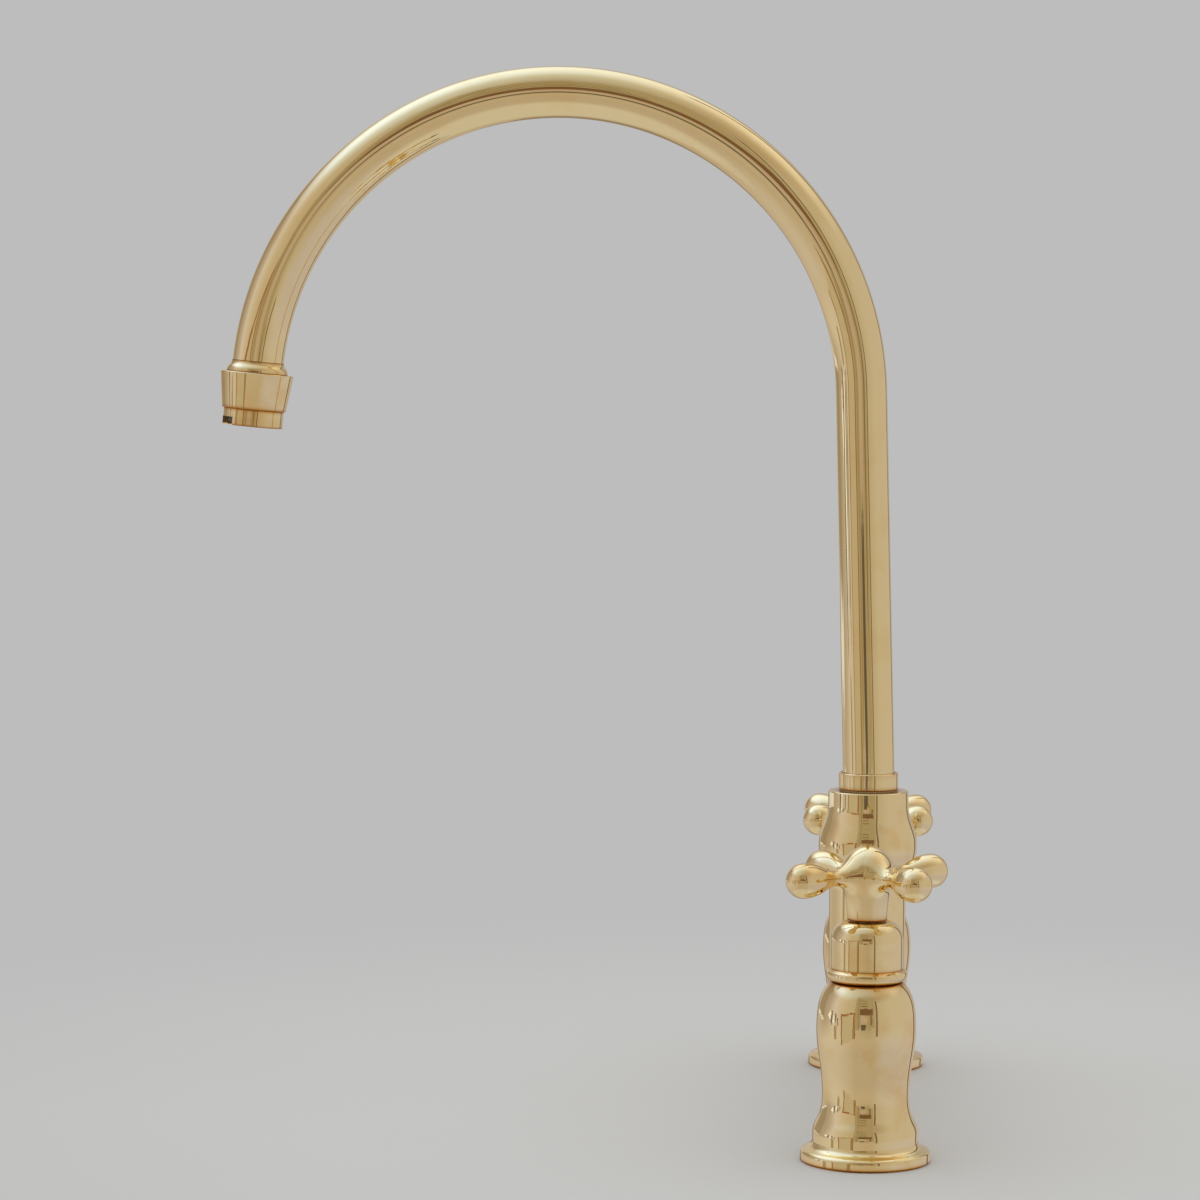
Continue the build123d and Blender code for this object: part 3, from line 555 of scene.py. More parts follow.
def outline(*marks, closed=False, ease=EASE_MM):
    """Join corner points and curves to one half outline, with doubles dropped and corners eased."""
    joined = []
    for mark in marks:
        for point in mark if isinstance(mark, list) else [np.array(mark, float)]:
            if not joined or np.linalg.norm(point - joined[-1]) > SAME_MM:
                joined.append(point)
    if closed and np.linalg.norm(joined[0] - joined[-1]) < SAME_MM:
        joined.pop()
    return divided(eased(joined, closed, ease), closed)


print("an eased corner has", len(outline((0, 0), (1, 0), (1, 1))), "points")

# %% Spinning an outline
ROUND_STEPS = 112


def spun(profile, closed=False, seams=(), steps=ROUND_STEPS):
    """A mesh from a half outline turned about Z. Seams are (radius, height, reach) in millimetres: places where
    tarnish and painted shade darken the brass.
    """
    mesh = bmesh.new()
    marks = mesh.verts.layers.float.new("tarnish_and_shade")
    angles = [FULL_TURN * k / steps for k in range(steps)]
    rings = []
    for radius, height in profile:
        # How much tarnish and painted shade a point takes from its nearest seam.
        tarnish_and_shade_amount = max([math.exp(-math.hypot(radius - r, height - z) / reach) for r, z, reach in seams], default=0)
        if radius < SAME_MM:
            spots = [mesh.verts.new((0, 0, height * MM))]
        else:
            spots = [
                mesh.verts.new((radius * MM * math.cos(a), radius * MM * math.sin(a), height * MM))
                for a in angles
            ]
        for spot in spots:
            spot[marks] = min(tarnish_and_shade_amount, 1.0)
        rings.append(spots)
    for low, high in zip(rings, rings[1:] + rings[:1] if closed else rings[1:]):
        for k in range(steps):
            ahead = (k + 1) % steps
            corners = [low[k % len(low)], low[ahead % len(low)], high[ahead % len(high)], high[k % len(high)]]
            unique = list(dict.fromkeys(corners))
            if len(unique) > 2:
                mesh.faces.new(unique)
    bmesh.ops.recalc_face_normals(mesh, faces=mesh.faces)
    for face in mesh.faces:
        face.smooth = True
    return mesh


def ring_of(*marks, seams=(), steps=ROUND_STEPS, **easing):
    """A turned ring: a closed outline, spun."""
    return spun(outline(*marks, closed=True, **easing), closed=True, seams=seams, steps=steps)


def placed(mesh, matrix):
    """Move a mesh and hand it back."""
    bmesh.ops.transform(mesh, matrix=matrix, verts=mesh.verts)
    return mesh


print("steps round a turned part", ROUND_STEPS)

# %% Finishing a piece
pieces = {}


def finish_piece(name, mesh, body, *nodes, material=polished_brass, slot_name="polished_brass"):
    """Turn a mesh into a named piece that rides on a body and stands for its CAD nodes."""
    if isinstance(mesh, bmesh.types.BMesh):
        data = bpy.data.meshes.new(name)
        mesh.to_mesh(data)
        mesh.free()
    else:
        data = mesh
        data.name = name
    data.materials.clear()
    data.materials.append(material)
    piece = new_object(name, data)
    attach(piece, body)
    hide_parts(*nodes)
    pieces[name] = piece
    print(name, len(data.vertices), "points")


# %% [markdown]
# ## The sizes that several pieces share
#
# These repeat the CAD part's own dimensions, in millimetres, so that every piece lands where the
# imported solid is.

# %% Shared sizes
SIDE_X = 101.6
BRIDGE_Z = 51.0
SIDES = (("right", 1), ("left", -1))
SLIP, THREAD_SLIP = 0.05, 0.04          # the room round a plain fit and round a thread
THREAD_CREST_R = 10.48
FOOT_R = 20.3
SKIRT_R = 7.6


def moved(x=0.0, y=0.0, z=0.0):
    """A move in millimetres."""
    return Matrix.Translation((x * MM, y * MM, z * MM))


def turned(degrees, axis):
    return Matrix.Rotation(math.radians(degrees), 4, axis)


def at_side(side):
    return moved(side * SIDE_X)


def along_bridge(degrees):
    """Lay a mesh's own axis along the bridge, then turn it about the upright axis."""
    return moved(z=BRIDGE_Z) @ turned(degrees, "Z") @ turned(90, "Y")


print("bridge at", BRIDGE_Z, "mm")

# %% [markdown]
# ## Base flanges
#
# A turned plate that covers the hole in the deck. Its rim is rounded over, and its top draws up in
# a small hollow curve to a lip round the foot of the valve body.

# %% Base flanges
FLANGE_R, FLANGE_H, FLANGE_BORE = 25.0, 4.6, 12.07
FLANGE_LIP_R, FLANGE_LIP_Z, FLANGE_LIP_W = 20.34, 7.6, 0.06
FLANGE_EDGE, FLANGE_RIM_TOP = 0.3, 2.9
HOLLOW_FROM = (23.4, 4.85)
GASKET_RECESS_R, GASKET_H = 21.3, 1.5

lip_outer = FLANGE_LIP_R + FLANGE_LIP_W
for side_name, side in SIDES:
    mesh = ring_of(
        (GASKET_RECESS_R, 0), (FLANGE_R - FLANGE_EDGE, 0), (FLANGE_R, FLANGE_EDGE),
        bezier((FLANGE_R, FLANGE_RIM_TOP), (FLANGE_R, 4.0), (24.5, 4.5), HOLLOW_FROM, 14),
        bezier(HOLLOW_FROM, (22.4, 5.2), (20.8, 5.6), (lip_outer, FLANGE_LIP_Z), 14),
        (FLANGE_LIP_R, FLANGE_LIP_Z), (FLANGE_LIP_R, FLANGE_H), (FLANGE_BORE, FLANGE_H),
        (FLANGE_BORE, GASKET_H), (GASKET_RECESS_R, GASKET_H),
        # The seams at the rim's foot paint a dark contact shadow where the flange meets the deck.
        ease=0.1, seams=[(FLANGE_R, 0, 0.4), (FLANGE_R, 0.4, 0.4)],
    )
    finish_piece(
        f"{side_name}_deck_flange", placed(mesh, at_side(side)), "faucet_body", f"{side_name}_base_flange",
    )
print("flanges", FLANGE_R, "mm in radius")

# %% [markdown]
# ## Joining a boss to a turned body
#
# The valve bodies and the column were turned first, and the round bosses of the bridge were
# brazed into their sides. Blender's exact Boolean joins the two closed meshes into one; the same
# helper also cuts one mesh out of another.

# %% Boolean helper
CREASE = math.radians(38)


def joined(first, second, operation):
    """Join or cut two closed bmeshes with the exact solver and give back one bmesh."""
    objects = []
    for mesh in (first, second):
        data = bpy.data.meshes.new("work")
        mesh.to_mesh(data)
        mesh.free()
        objects.append(new_object("work", data))
    change = objects[0].modifiers.new("join", "BOOLEAN")
    change.operation = operation
    change.solver = "EXACT"
    change.object = objects[1]
    evaluated = objects[0].evaluated_get(bpy.context.evaluated_depsgraph_get())
    result = bmesh.new()
    result.from_mesh(evaluated.to_mesh())
    for work in objects:
        data = work.data
        bpy.data.objects.remove(work)
        bpy.data.meshes.remove(data)
    return result


def creased(mesh):
    """Mark the sharp edges that a Boolean leaves, so that smooth shading stops there."""
    for edge in mesh.edges:
        if len(edge.link_faces) == 2 and edge.calc_face_angle() > CREASE:
            edge.smooth = False
    for face in mesh.faces:
        face.smooth = True
    return mesh


def rod(radius, low, high, steps):
    """A closed cylinder on the Z axis."""
    return spun(outline((0, low), (radius, low), (radius, high), (0, high), ease=0.05), steps=steps)


print("edges sharper than", round(math.degrees(CREASE)), "degrees stay sharp")

# %% [markdown]
# ## Valve bodies
#
# Each body is a turned vase: a plain foot, a cove that draws in to a slim waist, a long swell to a
# belly at the height of the bridge, and a quick round shoulder up to the rim under the bonnet.

# %% Valve bodies
FOOT_Z, FOOT_H, WAIST_R, WAIST_UP = FLANGE_H, 6.0, 16.7, 20.4
BELLY_R, BELLY_UP, RIM_R, RIM_Z = 19.1, 46.4, 13.6, 69.4
BODY_EDGE = 0.6
PORT_R, PORT_REACH_BODY = 12.6, 23.0
WATER_BORE_R, THREAD_BORE_R, CHAMBER_R = 6.5, 10.52, 10.3
SHANK_TOP, SEAT_Z, BARREL_TOP = 20.6, 40.0, 59.4
TUBE_SOCKET_R, SOCKET_DEPTH = 10.05, 8.0
BOSS_IN_BODY = CHAMBER_R + 1.2

waist, foot_top = FOOT_Z + WAIST_UP, FOOT_Z + FOOT_H
rise, flank, shoulder = WAIST_UP - FOOT_H, BELLY_UP - WAIST_UP, RIM_Z - BRIDGE_Z
vase_marks = (
    (THREAD_BORE_R, FOOT_Z), (FOOT_R - BODY_EDGE, FOOT_Z), (FOOT_R, FOOT_Z + BODY_EDGE),
    bezier((FOOT_R, foot_top), (FOOT_R, foot_top + 0.35 * rise), (WAIST_R, waist - 0.62 * rise), (WAIST_R, waist)),
    bezier((WAIST_R, waist), (WAIST_R, waist + 0.42 * flank), (BELLY_R, BRIDGE_Z - 0.34 * flank),
           (BELLY_R, BRIDGE_Z)),
    bezier((BELLY_R, BRIDGE_Z), (BELLY_R, BRIDGE_Z + 0.6 * shoulder), (RIM_R + 3.6, RIM_Z - 3.6), (RIM_R, RIM_Z)),
    (THREAD_BORE_R, RIM_Z), (THREAD_BORE_R, BARREL_TOP), (CHAMBER_R, BARREL_TOP), (CHAMBER_R, SEAT_Z),
    (WATER_BORE_R, SEAT_Z), (WATER_BORE_R, SHANK_TOP), (THREAD_BORE_R, SHANK_TOP),
)


def boss(reach, start):
    """A hollow boss with the tube's socket, from inside the body to its outer face."""
    return ring_of(
        (WATER_BORE_R, start), (PORT_R, start), (PORT_R, reach), (TUBE_SOCKET_R, reach),
        (TUBE_SOCKET_R, reach - SOCKET_DEPTH), (WATER_BORE_R, reach - SOCKET_DEPTH), steps=72,
    )


for side_name, side in SIDES:
    # The seam at the rim paints shade under the bonnet's bead.
    vase = ring_of(*vase_marks, seams=[(RIM_R, RIM_Z, 1.1)])
    side_boss = placed(boss(PORT_REACH_BODY, BOSS_IN_BODY), along_bridge(180 if side > 0 else 0))
    mesh = creased(joined(vase, side_boss, "UNION"))
    finish_piece(
        f"{side_name}_valve_vase", placed(mesh, at_side(side)), "faucet_body", f"{side_name}_valve_body",
    )
print("bodies stand", RIM_Z, "mm high")

# %% [markdown]
# ## Bonnets
#
# A bell-shaped cap screws down over each cartridge. A bead rolls out at its foot, and the crown
# turns in to the spindle with a smooth round.

# %% Bonnets
BONNET_Z, BEAD_R, BEAD_FOOT_R, BEAD_H, BEAD_STEP = 69.6, 15.8, 14.0, 3.7, 1.0
BONNET_R, WALL_TOP, BONNET_TOP, CROWN_R = 13.8, 85.2, 92.4, 8.2
HEX_ROOM_R, NECK_BORE_R, STOP_TOP, CROWN_BORE_R = 12.5, 8.04, 85.5, 4.7
HEX_TOP = 76.4
BONNET_ROUND = 0.55

crown = BONNET_TOP - WALL_TOP
bead_top = BONNET_Z + BEAD_H
for side_name, side in SIDES:
    mesh = ring_of(
        (HEX_ROOM_R, BONNET_Z),
        bezier((BEAD_FOOT_R, BONNET_Z), (BEAD_R, BONNET_Z + BEAD_H * BONNET_ROUND / 2),
               (BEAD_R, bead_top - BEAD_H / 4), (BEAD_R - BEAD_H / 8, bead_top)),
        (BONNET_R, bead_top + BEAD_STEP),
        bezier((BONNET_R, WALL_TOP), (BONNET_R, WALL_TOP + BONNET_ROUND * crown),
               (CROWN_R + BONNET_ROUND * (BONNET_R - CROWN_R), BONNET_TOP), (CROWN_R, BONNET_TOP)),
        (CROWN_BORE_R, BONNET_TOP), (CROWN_BORE_R, STOP_TOP), (NECK_BORE_R, STOP_TOP),
        (NECK_BORE_R, HEX_TOP), (HEX_ROOM_R, HEX_TOP),
        ease=0.35,
        # These seams darken the bead's foot, the cove above the bead and the crown round the handle's skirt, partly
        # as tarnish and partly as painted shade.
        seams=[(BEAD_FOOT_R, BONNET_Z, 0.7), (BONNET_R, bead_top + 0.9, 0.25), (SKIRT_R, BONNET_TOP, 0.6)],
    )
    finish_piece(f"{side_name}_bell_bonnet", placed(mesh, at_side(side)), "faucet_body", f"{side_name}_bonnet")
print("bonnets reach", BONNET_TOP, "mm")

# %% [markdown]
# ## Cross handles
#
# Each handle is one casting: a domed hub on a slim skirt, and four arms that end in teardrop
# balls. In the casting the arms flow into the hub without a corner, which separate meshes can't
# show. So the handle is described by a distance field, the distance from any point to the hub or
# to the nearest arm. A smooth minimum melts the two fields together, and a surface is drawn where
# the field is nought. First, the distance to an outline is tabled once for the hub and once for
# the arm.

# %% Handle outlines
HANDLE_Z, ARM_RISE = 92.8, 16.9
HUB_R, DOME_RISE = 10.6, 11.7
NECK_AT, NECK_R, BALL_AT, BALL_R = 15.2, 2.9, 30.0, 6.7
ARM_ROOT_R, ARM_ROOT_TO, ARM_THINS_TO = 4.6, 6.0, 10.5
SPINDLE_BORE_R, SPINDLE_BORE_TOP = 4.15, -1.4
SCREW_BORE_R, SCREW_UP = 2.05, 5.0

hub_outline = np.array(outline(
    (0, -ARM_RISE),
    bezier((SKIRT_R, -ARM_RISE), (SKIRT_R + 0.5, -ARM_RISE / 2), (HUB_R - 1.6, -ARM_RISE / 4), (HUB_R, 0)),
    bezier((HUB_R, 0), (HUB_R - 0.4, DOME_RISE * 0.42), (HUB_R * 0.68, DOME_RISE), (0, DOME_RISE)),
    ease=0.5,
))
swell = BALL_AT - NECK_AT
arm_outline = np.array(outline(
    (0, 0), (0, ARM_ROOT_R),
    bezier((ARM_ROOT_TO, ARM_ROOT_R), (ARM_THINS_TO, NECK_R), (NECK_AT - 1, NECK_R), (NECK_AT, NECK_R)),
    bezier((NECK_AT, NECK_R), (NECK_AT + 0.3 * swell, NECK_R), (BALL_AT - 0.5 * swell, BALL_R), (BALL_AT, BALL_R)),
    [p[::-1] for p in quarter((0, BALL_AT), BALL_R, 0, 90, 32)],
))
print("hub outline", len(hub_outline), "arm outline", len(arm_outline))

# %% Distance tables
TABLE_STEP = 0.12
FAR_AWAY, NO_LENGTH = 1e9, 1e-12
KEEP_INSIDE = 1.001    # the last look-up has to have one more entry after it


def distance_table(points, low, high):
    """Signed distance to a half outline closed on its axis, over a grid; inside is negative."""
    axes = [np.arange(a, b + TABLE_STEP, TABLE_STEP) for a, b in zip(low, high)]
    across, along = np.meshgrid(*axes, indexing="ij")
    nearest = np.full(across.shape, FAR_AWAY)
    crossings = np.zeros(across.shape, int)
    ends = np.vstack([points, points[:1]])
    for index, (start, end) in enumerate(zip(ends, ends[1:])):
        step = end - start
        length = step @ step
        if length < NO_LENGTH:
            continue
        if index < len(points) - 1:
            t = np.clip(((across - start[0]) * step[0] + (along - start[1]) * step[1]) / length, 0, 1)
            gap = (across - start[0] - t * step[0]) ** 2 + (along - start[1] - t * step[1]) ** 2
            nearest = np.minimum(nearest, gap)
        if start[1] != end[1]:
            between = (along >= min(start[1], end[1])) & (along < max(start[1], end[1]))
            where = start[0] + (along - start[1]) / (end[1] - start[1]) * (end[0] - start[0])
            crossings += between & (where > across)
    return np.where(crossings % 2 == 1, -1, 1) * np.sqrt(nearest)


def looked_up(table, low, across, along):
    """Bilinear look-up in a table, held at its edges."""
    u = np.clip((across - low[0]) / TABLE_STEP, 0, table.shape[0] - KEEP_INSIDE)
    v = np.clip((along - low[1]) / TABLE_STEP, 0, table.shape[1] - KEEP_INSIDE)
    i, j = u.astype(int), v.astype(int)
    u, v = u - i, v - j
    return (
        table[i, j] * (1 - u) * (1 - v) + table[i + 1, j] * u * (1 - v)
        + table[i, j + 1] * (1 - u) * v + table[i + 1, j + 1] * u * v
    )


HUB_LOW, HUB_HIGH = (0.0, -20.0), (42.0, 16.0)
ARM_LOW, ARM_HIGH = (0.0, 0.0), (20.0, 42.0)
hub_table = distance_table(hub_outline, HUB_LOW, HUB_HIGH)
arm_table = distance_table(arm_outline[:, ::-1], ARM_LOW, ARM_HIGH)
print("tables", hub_table.shape, arm_table.shape)

# %% The handle's field
BLEND_MM = 6.0
EDGE_BLEND_MM = 0.4


def melted(a, b, width):
    """The smaller of two fields, with the corner between them filled in."""
    near = np.maximum(width - np.abs(a - b), 0) / width
    return np.minimum(a, b) - near * near * width / 4


def handle_field(x, y, z):
    """Distance to the cast handle, arms along X and Y, the arm plane at z = 0, in millimetres."""
    hub = looked_up(hub_table, HUB_LOW, np.hypot(x, y), z)
    along = np.maximum(np.abs(x), np.abs(y))
    across = np.hypot(np.minimum(np.abs(x), np.abs(y)), z)
    arm = looked_up(arm_table, ARM_LOW, across, along)
    cast = melted(hub, arm, BLEND_MM)
    bore = np.maximum(np.hypot(x, y) - SPINDLE_BORE_R, z - SPINDLE_BORE_TOP)
    screw_line = (x + y) / math.sqrt(2)
    screw_off = np.hypot((x - y) / math.sqrt(2), z + ARM_RISE - SCREW_UP)
    screw = np.maximum(screw_off - SCREW_BORE_R, -screw_line)
    foot = -ARM_RISE - z
    for cut in (foot, -bore, -screw):
        cast = -melted(-cast, -cut, EDGE_BLEND_MM)
    return cast


print("field at the hub's middle", handle_field(*(np.array([v]) for v in (6.0, 0.0, 0.0))))

# %% [markdown]
# Surface nets draw the surface: the space is cut into small cubes, each cube that the surface
# passes through gets one point, and each edge that changes sign gets one face between the four
# cubes round it. A few Newton steps along the field's slope then set every point exactly on the
# surface.

# %% Surface nets
CUBE_MM = 0.5
NEWTON_STEPS = 4
SLOPE_REACH_MM = 0.15
LEAST_SLOPE = 0.2    # keeps a step short where the field is nearly flat
ROOM_MM = 2          # empty space left round the handle


def field_slope(points):
    """How fast the field grows along X, Y and Z."""
    parts = []
    for axis in range(3):
        shift = np.zeros(3)
        shift[axis] = SLOPE_REACH_MM
        rise = handle_field(*(points + shift).T) - handle_field(*(points - shift).T)
        parts.append(rise / (2 * SLOPE_REACH_MM))
    return np.stack(parts, 1)


def handle_surface():
    """Points and square faces of the handle's surface, in millimetres."""
    reach = BALL_AT + BALL_R + ROOM_MM
    low, high = -ARM_RISE - ROOM_MM, DOME_RISE + ROOM_MM
    axes = [np.arange(-reach, reach, CUBE_MM)] * 2 + [np.arange(low, high, CUBE_MM)]
    inside = handle_field(*np.meshgrid(*axes, indexing="ij")) < 0
    counts = [len(a) - 1 for a in axes]
    corner_sum = np.zeros(counts, int)
    for i, j, k in np.ndindex(2, 2, 2):
        corner_sum += inside[i:counts[0] + i, j:counts[1] + j, k:counts[2] + k]
    cubes = np.argwhere((corner_sum > 0) & (corner_sum < 8))
    number = np.full(counts, -1)
    number[tuple(cubes.T)] = np.arange(len(cubes))
    points = np.stack([axes[a][cubes[:, a]] + CUBE_MM / 2 for a in range(3)], 1)
    faces = []
    for axis in range(3):
        other, third = (axis + 1) % 3, (axis + 2) % 3
        ahead = [slice(None)] * 3
        behind = [slice(None)] * 3
        ahead[axis], behind[axis] = slice(1, None), slice(None, -1)
        start, end = inside[tuple(behind)], inside[tuple(ahead)]
        for place in np.argwhere(start != end):
            around = []
            for a, b in ((0, 0), (-1, 0), (-1, -1), (0, -1)):
                cube = place.copy()
                cube[other] += a
                cube[third] += b
                around.append(number[tuple(cube)])
            faces.append(around if start[tuple(place)] else around[::-1])
    for _ in range(NEWTON_STEPS):
        slope = field_slope(points)
        size = np.maximum((slope ** 2).sum(1), LEAST_SLOPE)
        points = points - (handle_field(*points.T) / size)[:, None] * slope
    return points, faces


handle_points, handle_faces = handle_surface()
print("handle", len(handle_points), "points", len(handle_faces), "faces")
# %% Both handles
ARM_ANGLES = {"right": 36.0, "left": 45.0}
ARM_PITCH = 90
BUFFED_FROM = 22.0
SEAM_FADE_MM = 0.8


def handle_mesh(first_angle, side):
    """The cast handle as a mesh, turned so that its screw faces the bridge."""
    towards_bridge = 180 if side > 0 else 0
    screw_now = first_angle + ARM_PITCH / 2
    turn = first_angle + ARM_PITCH * round((towards_bridge - screw_now) / ARM_PITCH)
    data = bpy.data.meshes.new("handle")
    data.from_pydata((handle_points * MM).tolist(), [], handle_faces)
    data.transform(at_side(side) @ moved(z=HANDLE_Z + ARM_RISE) @ turned(turn, "Z"))
    height = handle_points[:, 2] + ARM_RISE
    arm_way = np.abs(handle_points[:, :2]).max(1)
    for name, values in (
        # The skirt's foot darkens towards the bonnet, partly as tarnish and partly as painted shade at the joint.
        ("tarnish_and_shade", np.exp(-np.maximum(height, 0) / SEAM_FADE_MM)),
        ("buffed", np.maximum(arm_way - BUFFED_FROM, 0)),
    ):
        data.attributes.new(name, "FLOAT", "POINT").data.foreach_set("value", values.astype(np.float32))
    data.shade_smooth()
    data.update()
    return data


for side_name, side in SIDES:
    finish_piece(
        f"{side_name}_cross_handle", handle_mesh(ARM_ANGLES[side_name], side),
        f"{side_name}_handle_body", f"{side_name}_handle",
    )
print("arms at", ARM_ANGLES)

# %% [markdown]
# ## The mixing column
#
# The column is one turned urn: a straight stalk from below the bridge, a swelling towards the top,
# a soft taper and a flat rim. Its two bosses take the bridge tubes.

# %% The mixing column
STALK_R, COLUMN_FOOT, STALK_TOP = 15.6, 34.0, 91.0
URN_R, URN_Z, SHOULDER_R, SHOULDER_Z = 20.1, 109.0, 16.4, 126.2
COLUMN_TOP, COLUMN_TOP_R, COLUMN_EDGE = 131.5, 16.3, 0.3
STEM_BORE_R, STEM_FLOOR, MIXING_BORE_R = 11.38, 87.9, 9.0
PLUG_THREAD_H = 6.0
PORT_REACH_COLUMN, BOSS_IN_COLUMN = 21.0, MIXING_BORE_R + 1.6
RETAINING_Z, RETAINING_R, RETAINING_FROM = 109.5, 2.55, 13.0
COLUMN_SEAM_R = 12.0

urn_rise, urn_taper = URN_Z - STALK_TOP, SHOULDER_Z - URN_Z
thread_top = COLUMN_FOOT + PLUG_THREAD_H
mesh = ring_of(
    (THREAD_BORE_R, COLUMN_FOOT), (STALK_R, COLUMN_FOOT),
    bezier((STALK_R, STALK_TOP), (STALK_R, STALK_TOP + 0.5 * urn_rise), (URN_R, URN_Z - 0.5 * urn_rise),
           (URN_R, URN_Z)),
    bezier((URN_R, URN_Z), (URN_R, URN_Z + 0.45 * urn_taper), (SHOULDER_R, SHOULDER_Z - 0.45 * urn_taper),
           (SHOULDER_R, SHOULDER_Z)),
    (COLUMN_TOP_R, COLUMN_TOP - COLUMN_EDGE), (COLUMN_TOP_R - COLUMN_EDGE, COLUMN_TOP),
    (STEM_BORE_R, COLUMN_TOP), (STEM_BORE_R, STEM_FLOOR), (MIXING_BORE_R, STEM_FLOOR),
    (MIXING_BORE_R, thread_top), (THREAD_BORE_R, thread_top),
    # These seams darken the top under the collar's foot and the joint with the plug: painted shade, with some
    # tarnish.
    seams=[(COLUMN_SEAM_R, COLUMN_TOP, 0.8), (STALK_R, COLUMN_FOOT, 0.6)],
)
for towards in (0, 180):
    mesh = joined(mesh, placed(boss(PORT_REACH_COLUMN, BOSS_IN_COLUMN), along_bridge(towards)), "UNION")
screw_hole = placed(rod(RETAINING_R, RETAINING_FROM, URN_R + 2, 40), moved(z=RETAINING_Z) @ turned(-90, "X"))
mesh = creased(joined(mesh, screw_hole, "DIFFERENCE"))
finish_piece("urn_column", mesh, "faucet_body", "mixing_column")
print("column reaches", COLUMN_TOP, "mm")

# %% The column's plug
PLUG_R, PLUG_RIM_H, PLUG_DOME_H, PLUG_ROUND = 15.6, 2.4, 5.0, 0.6
plug_rim = COLUMN_FOOT - PLUG_RIM_H
plug_low = COLUMN_FOOT - PLUG_RIM_H - PLUG_DOME_H
plug = spun(outline(
    (0, thread_top - SLIP), (THREAD_CREST_R, thread_top - SLIP), (THREAD_CREST_R, COLUMN_FOOT),
    (PLUG_R, COLUMN_FOOT),
    bezier((PLUG_R, plug_rim), (PLUG_R, plug_low + PLUG_ROUND), (PLUG_R / 2, plug_low), (0, plug_low)),
), seams=[(PLUG_R, COLUMN_FOOT, 0.6)])
finish_piece("round_plug", plug, "faucet_body", "column_plug")
print("the plug hangs to", plug_low, "mm")

# %% [markdown]
# ## The bridge
#
# A plain tube runs from each body to the column, and a turned ring covers each joint.

# %% The bridge
BRIDGE_R, BRIDGE_BORE_R = 10.0, 8.5
UNION_R, UNION_W, UNION_EDGE = 12.2, 7.0, 1.6
tube_from, tube_to = PORT_REACH_COLUMN - SOCKET_DEPTH, SIDE_X - PORT_REACH_BODY + SOCKET_DEPTH
ring_starts = (PORT_REACH_COLUMN, SIDE_X - PORT_REACH_BODY - UNION_W)


def union_ring(low):
    """One ring over a joint, with both its edges rounded."""
    high, edge, bore = low + UNION_W, UNION_R - UNION_EDGE, BRIDGE_R + SLIP
    return ring_of(
        (bore, low), (edge, low), quarter((edge, low + UNION_EDGE), UNION_EDGE, -90, 0, 10),
        quarter((edge, high - UNION_EDGE), UNION_EDGE, 0, 90, 10), (edge, high), (bore, high),
        seams=[(BRIDGE_R, low, 0.6), (BRIDGE_R, high, 0.6)],
    )


for side_name, side in SIDES:
    towards = along_bridge(0 if side > 0 else 180)
    tube = ring_of(
        (BRIDGE_BORE_R, tube_from), (BRIDGE_R, tube_from), (BRIDGE_R, tube_to), (BRIDGE_BORE_R, tube_to),
        seams=[(BRIDGE_R, at, 0.8) for start in ring_starts for at in (start, start + UNION_W)],
    )
    finish_piece(f"{side_name}_bridge_pipe", placed(tube, towards), "faucet_body", f"{side_name}_bridge_tube")
    rings = bmesh.new()
    for start in ring_starts:
        data = bpy.data.meshes.new("ring")
        union_ring(start).to_mesh(data)
        rings.from_mesh(data)
        bpy.data.meshes.remove(data)
    finish_piece(f"{side_name}_bridge_rings", placed(rings, towards), "faucet_body", f"{side_name}_bridge_unions")
print("rings start at", ring_starts)

# %% [markdown]
# ## The spout's collar
#
# A plain ring at the foot of the spout, where the tube is brazed to the stem that turns in the
# column.

# %% The spout's collar
COLLAR_FOOT, COLLAR_R, COLLAR_H, COLLAR_EDGE = 132.1, 12.1, 6.8, 0.3
SPOUT_R, SPOUT_WALL = 10.5, 1.0
collar_top = COLLAR_FOOT + COLLAR_H
spout_bore = SPOUT_R + SLIP
collar = ring_of(
    (spout_bore, COLLAR_FOOT), (COLLAR_R - COLLAR_EDGE, COLLAR_FOOT), (COLLAR_R, COLLAR_FOOT + COLLAR_EDGE),
    (COLLAR_R, collar_top - COLLAR_EDGE), (COLLAR_R - COLLAR_EDGE, collar_top), (spout_bore, collar_top),
    # The seams darken the joint with the tube, as tarnish, and the collar's foot, as painted shade.
    ease=0.1, seams=[(SPOUT_R, collar_top, 0.7), (COLLAR_R, COLLAR_FOOT, 0.5)],
)
finish_piece("foot_collar", collar, "spout_body", "spout_collar")
print("collar up to", collar_top, "mm")

# %% [markdown]
# ## Geometry Nodes trees
#
# Three of the parts follow a rule: the gooseneck's bend, the shanks' thread and the aerator's bars.
# Each gets a Geometry Nodes tree. All three start with named inputs, end with real geometry and
# its material, and are run on a throwaway object whose mesh is kept.

# %% Starting, ending and running a tree
def named_inputs(tree, names):
    """Give a tree a number input for each name, a material input and a geometry output."""
    for name in names:
        tree.interface.new_socket(name=name, in_out="INPUT", socket_type="NodeSocketFloat")
    tree.interface.new_socket(name="Material", in_out="INPUT", socket_type="NodeSocketMaterial")
    tree.interface.new_socket(name="Geometry", in_out="OUTPUT", socket_type="NodeSocketGeometry")
    outputs = add_node(tree, "NodeGroupInput").outputs
    return lambda name: Value(tree, outputs[name])


def ended(tree, geometry, material):
    """End a tree: instances made real, the material set, and the output."""
    real = add_node(tree, "GeometryNodeRealizeInstances", {"Geometry": geometry})
    coated = add_node(tree, "GeometryNodeSetMaterial", {"Geometry": real.outputs[0], "Material": material})
    add_node(tree, "NodeGroupOutput", {0: coated.outputs[0]})
    print(tree.name, "has", len(tree.nodes), "nodes")


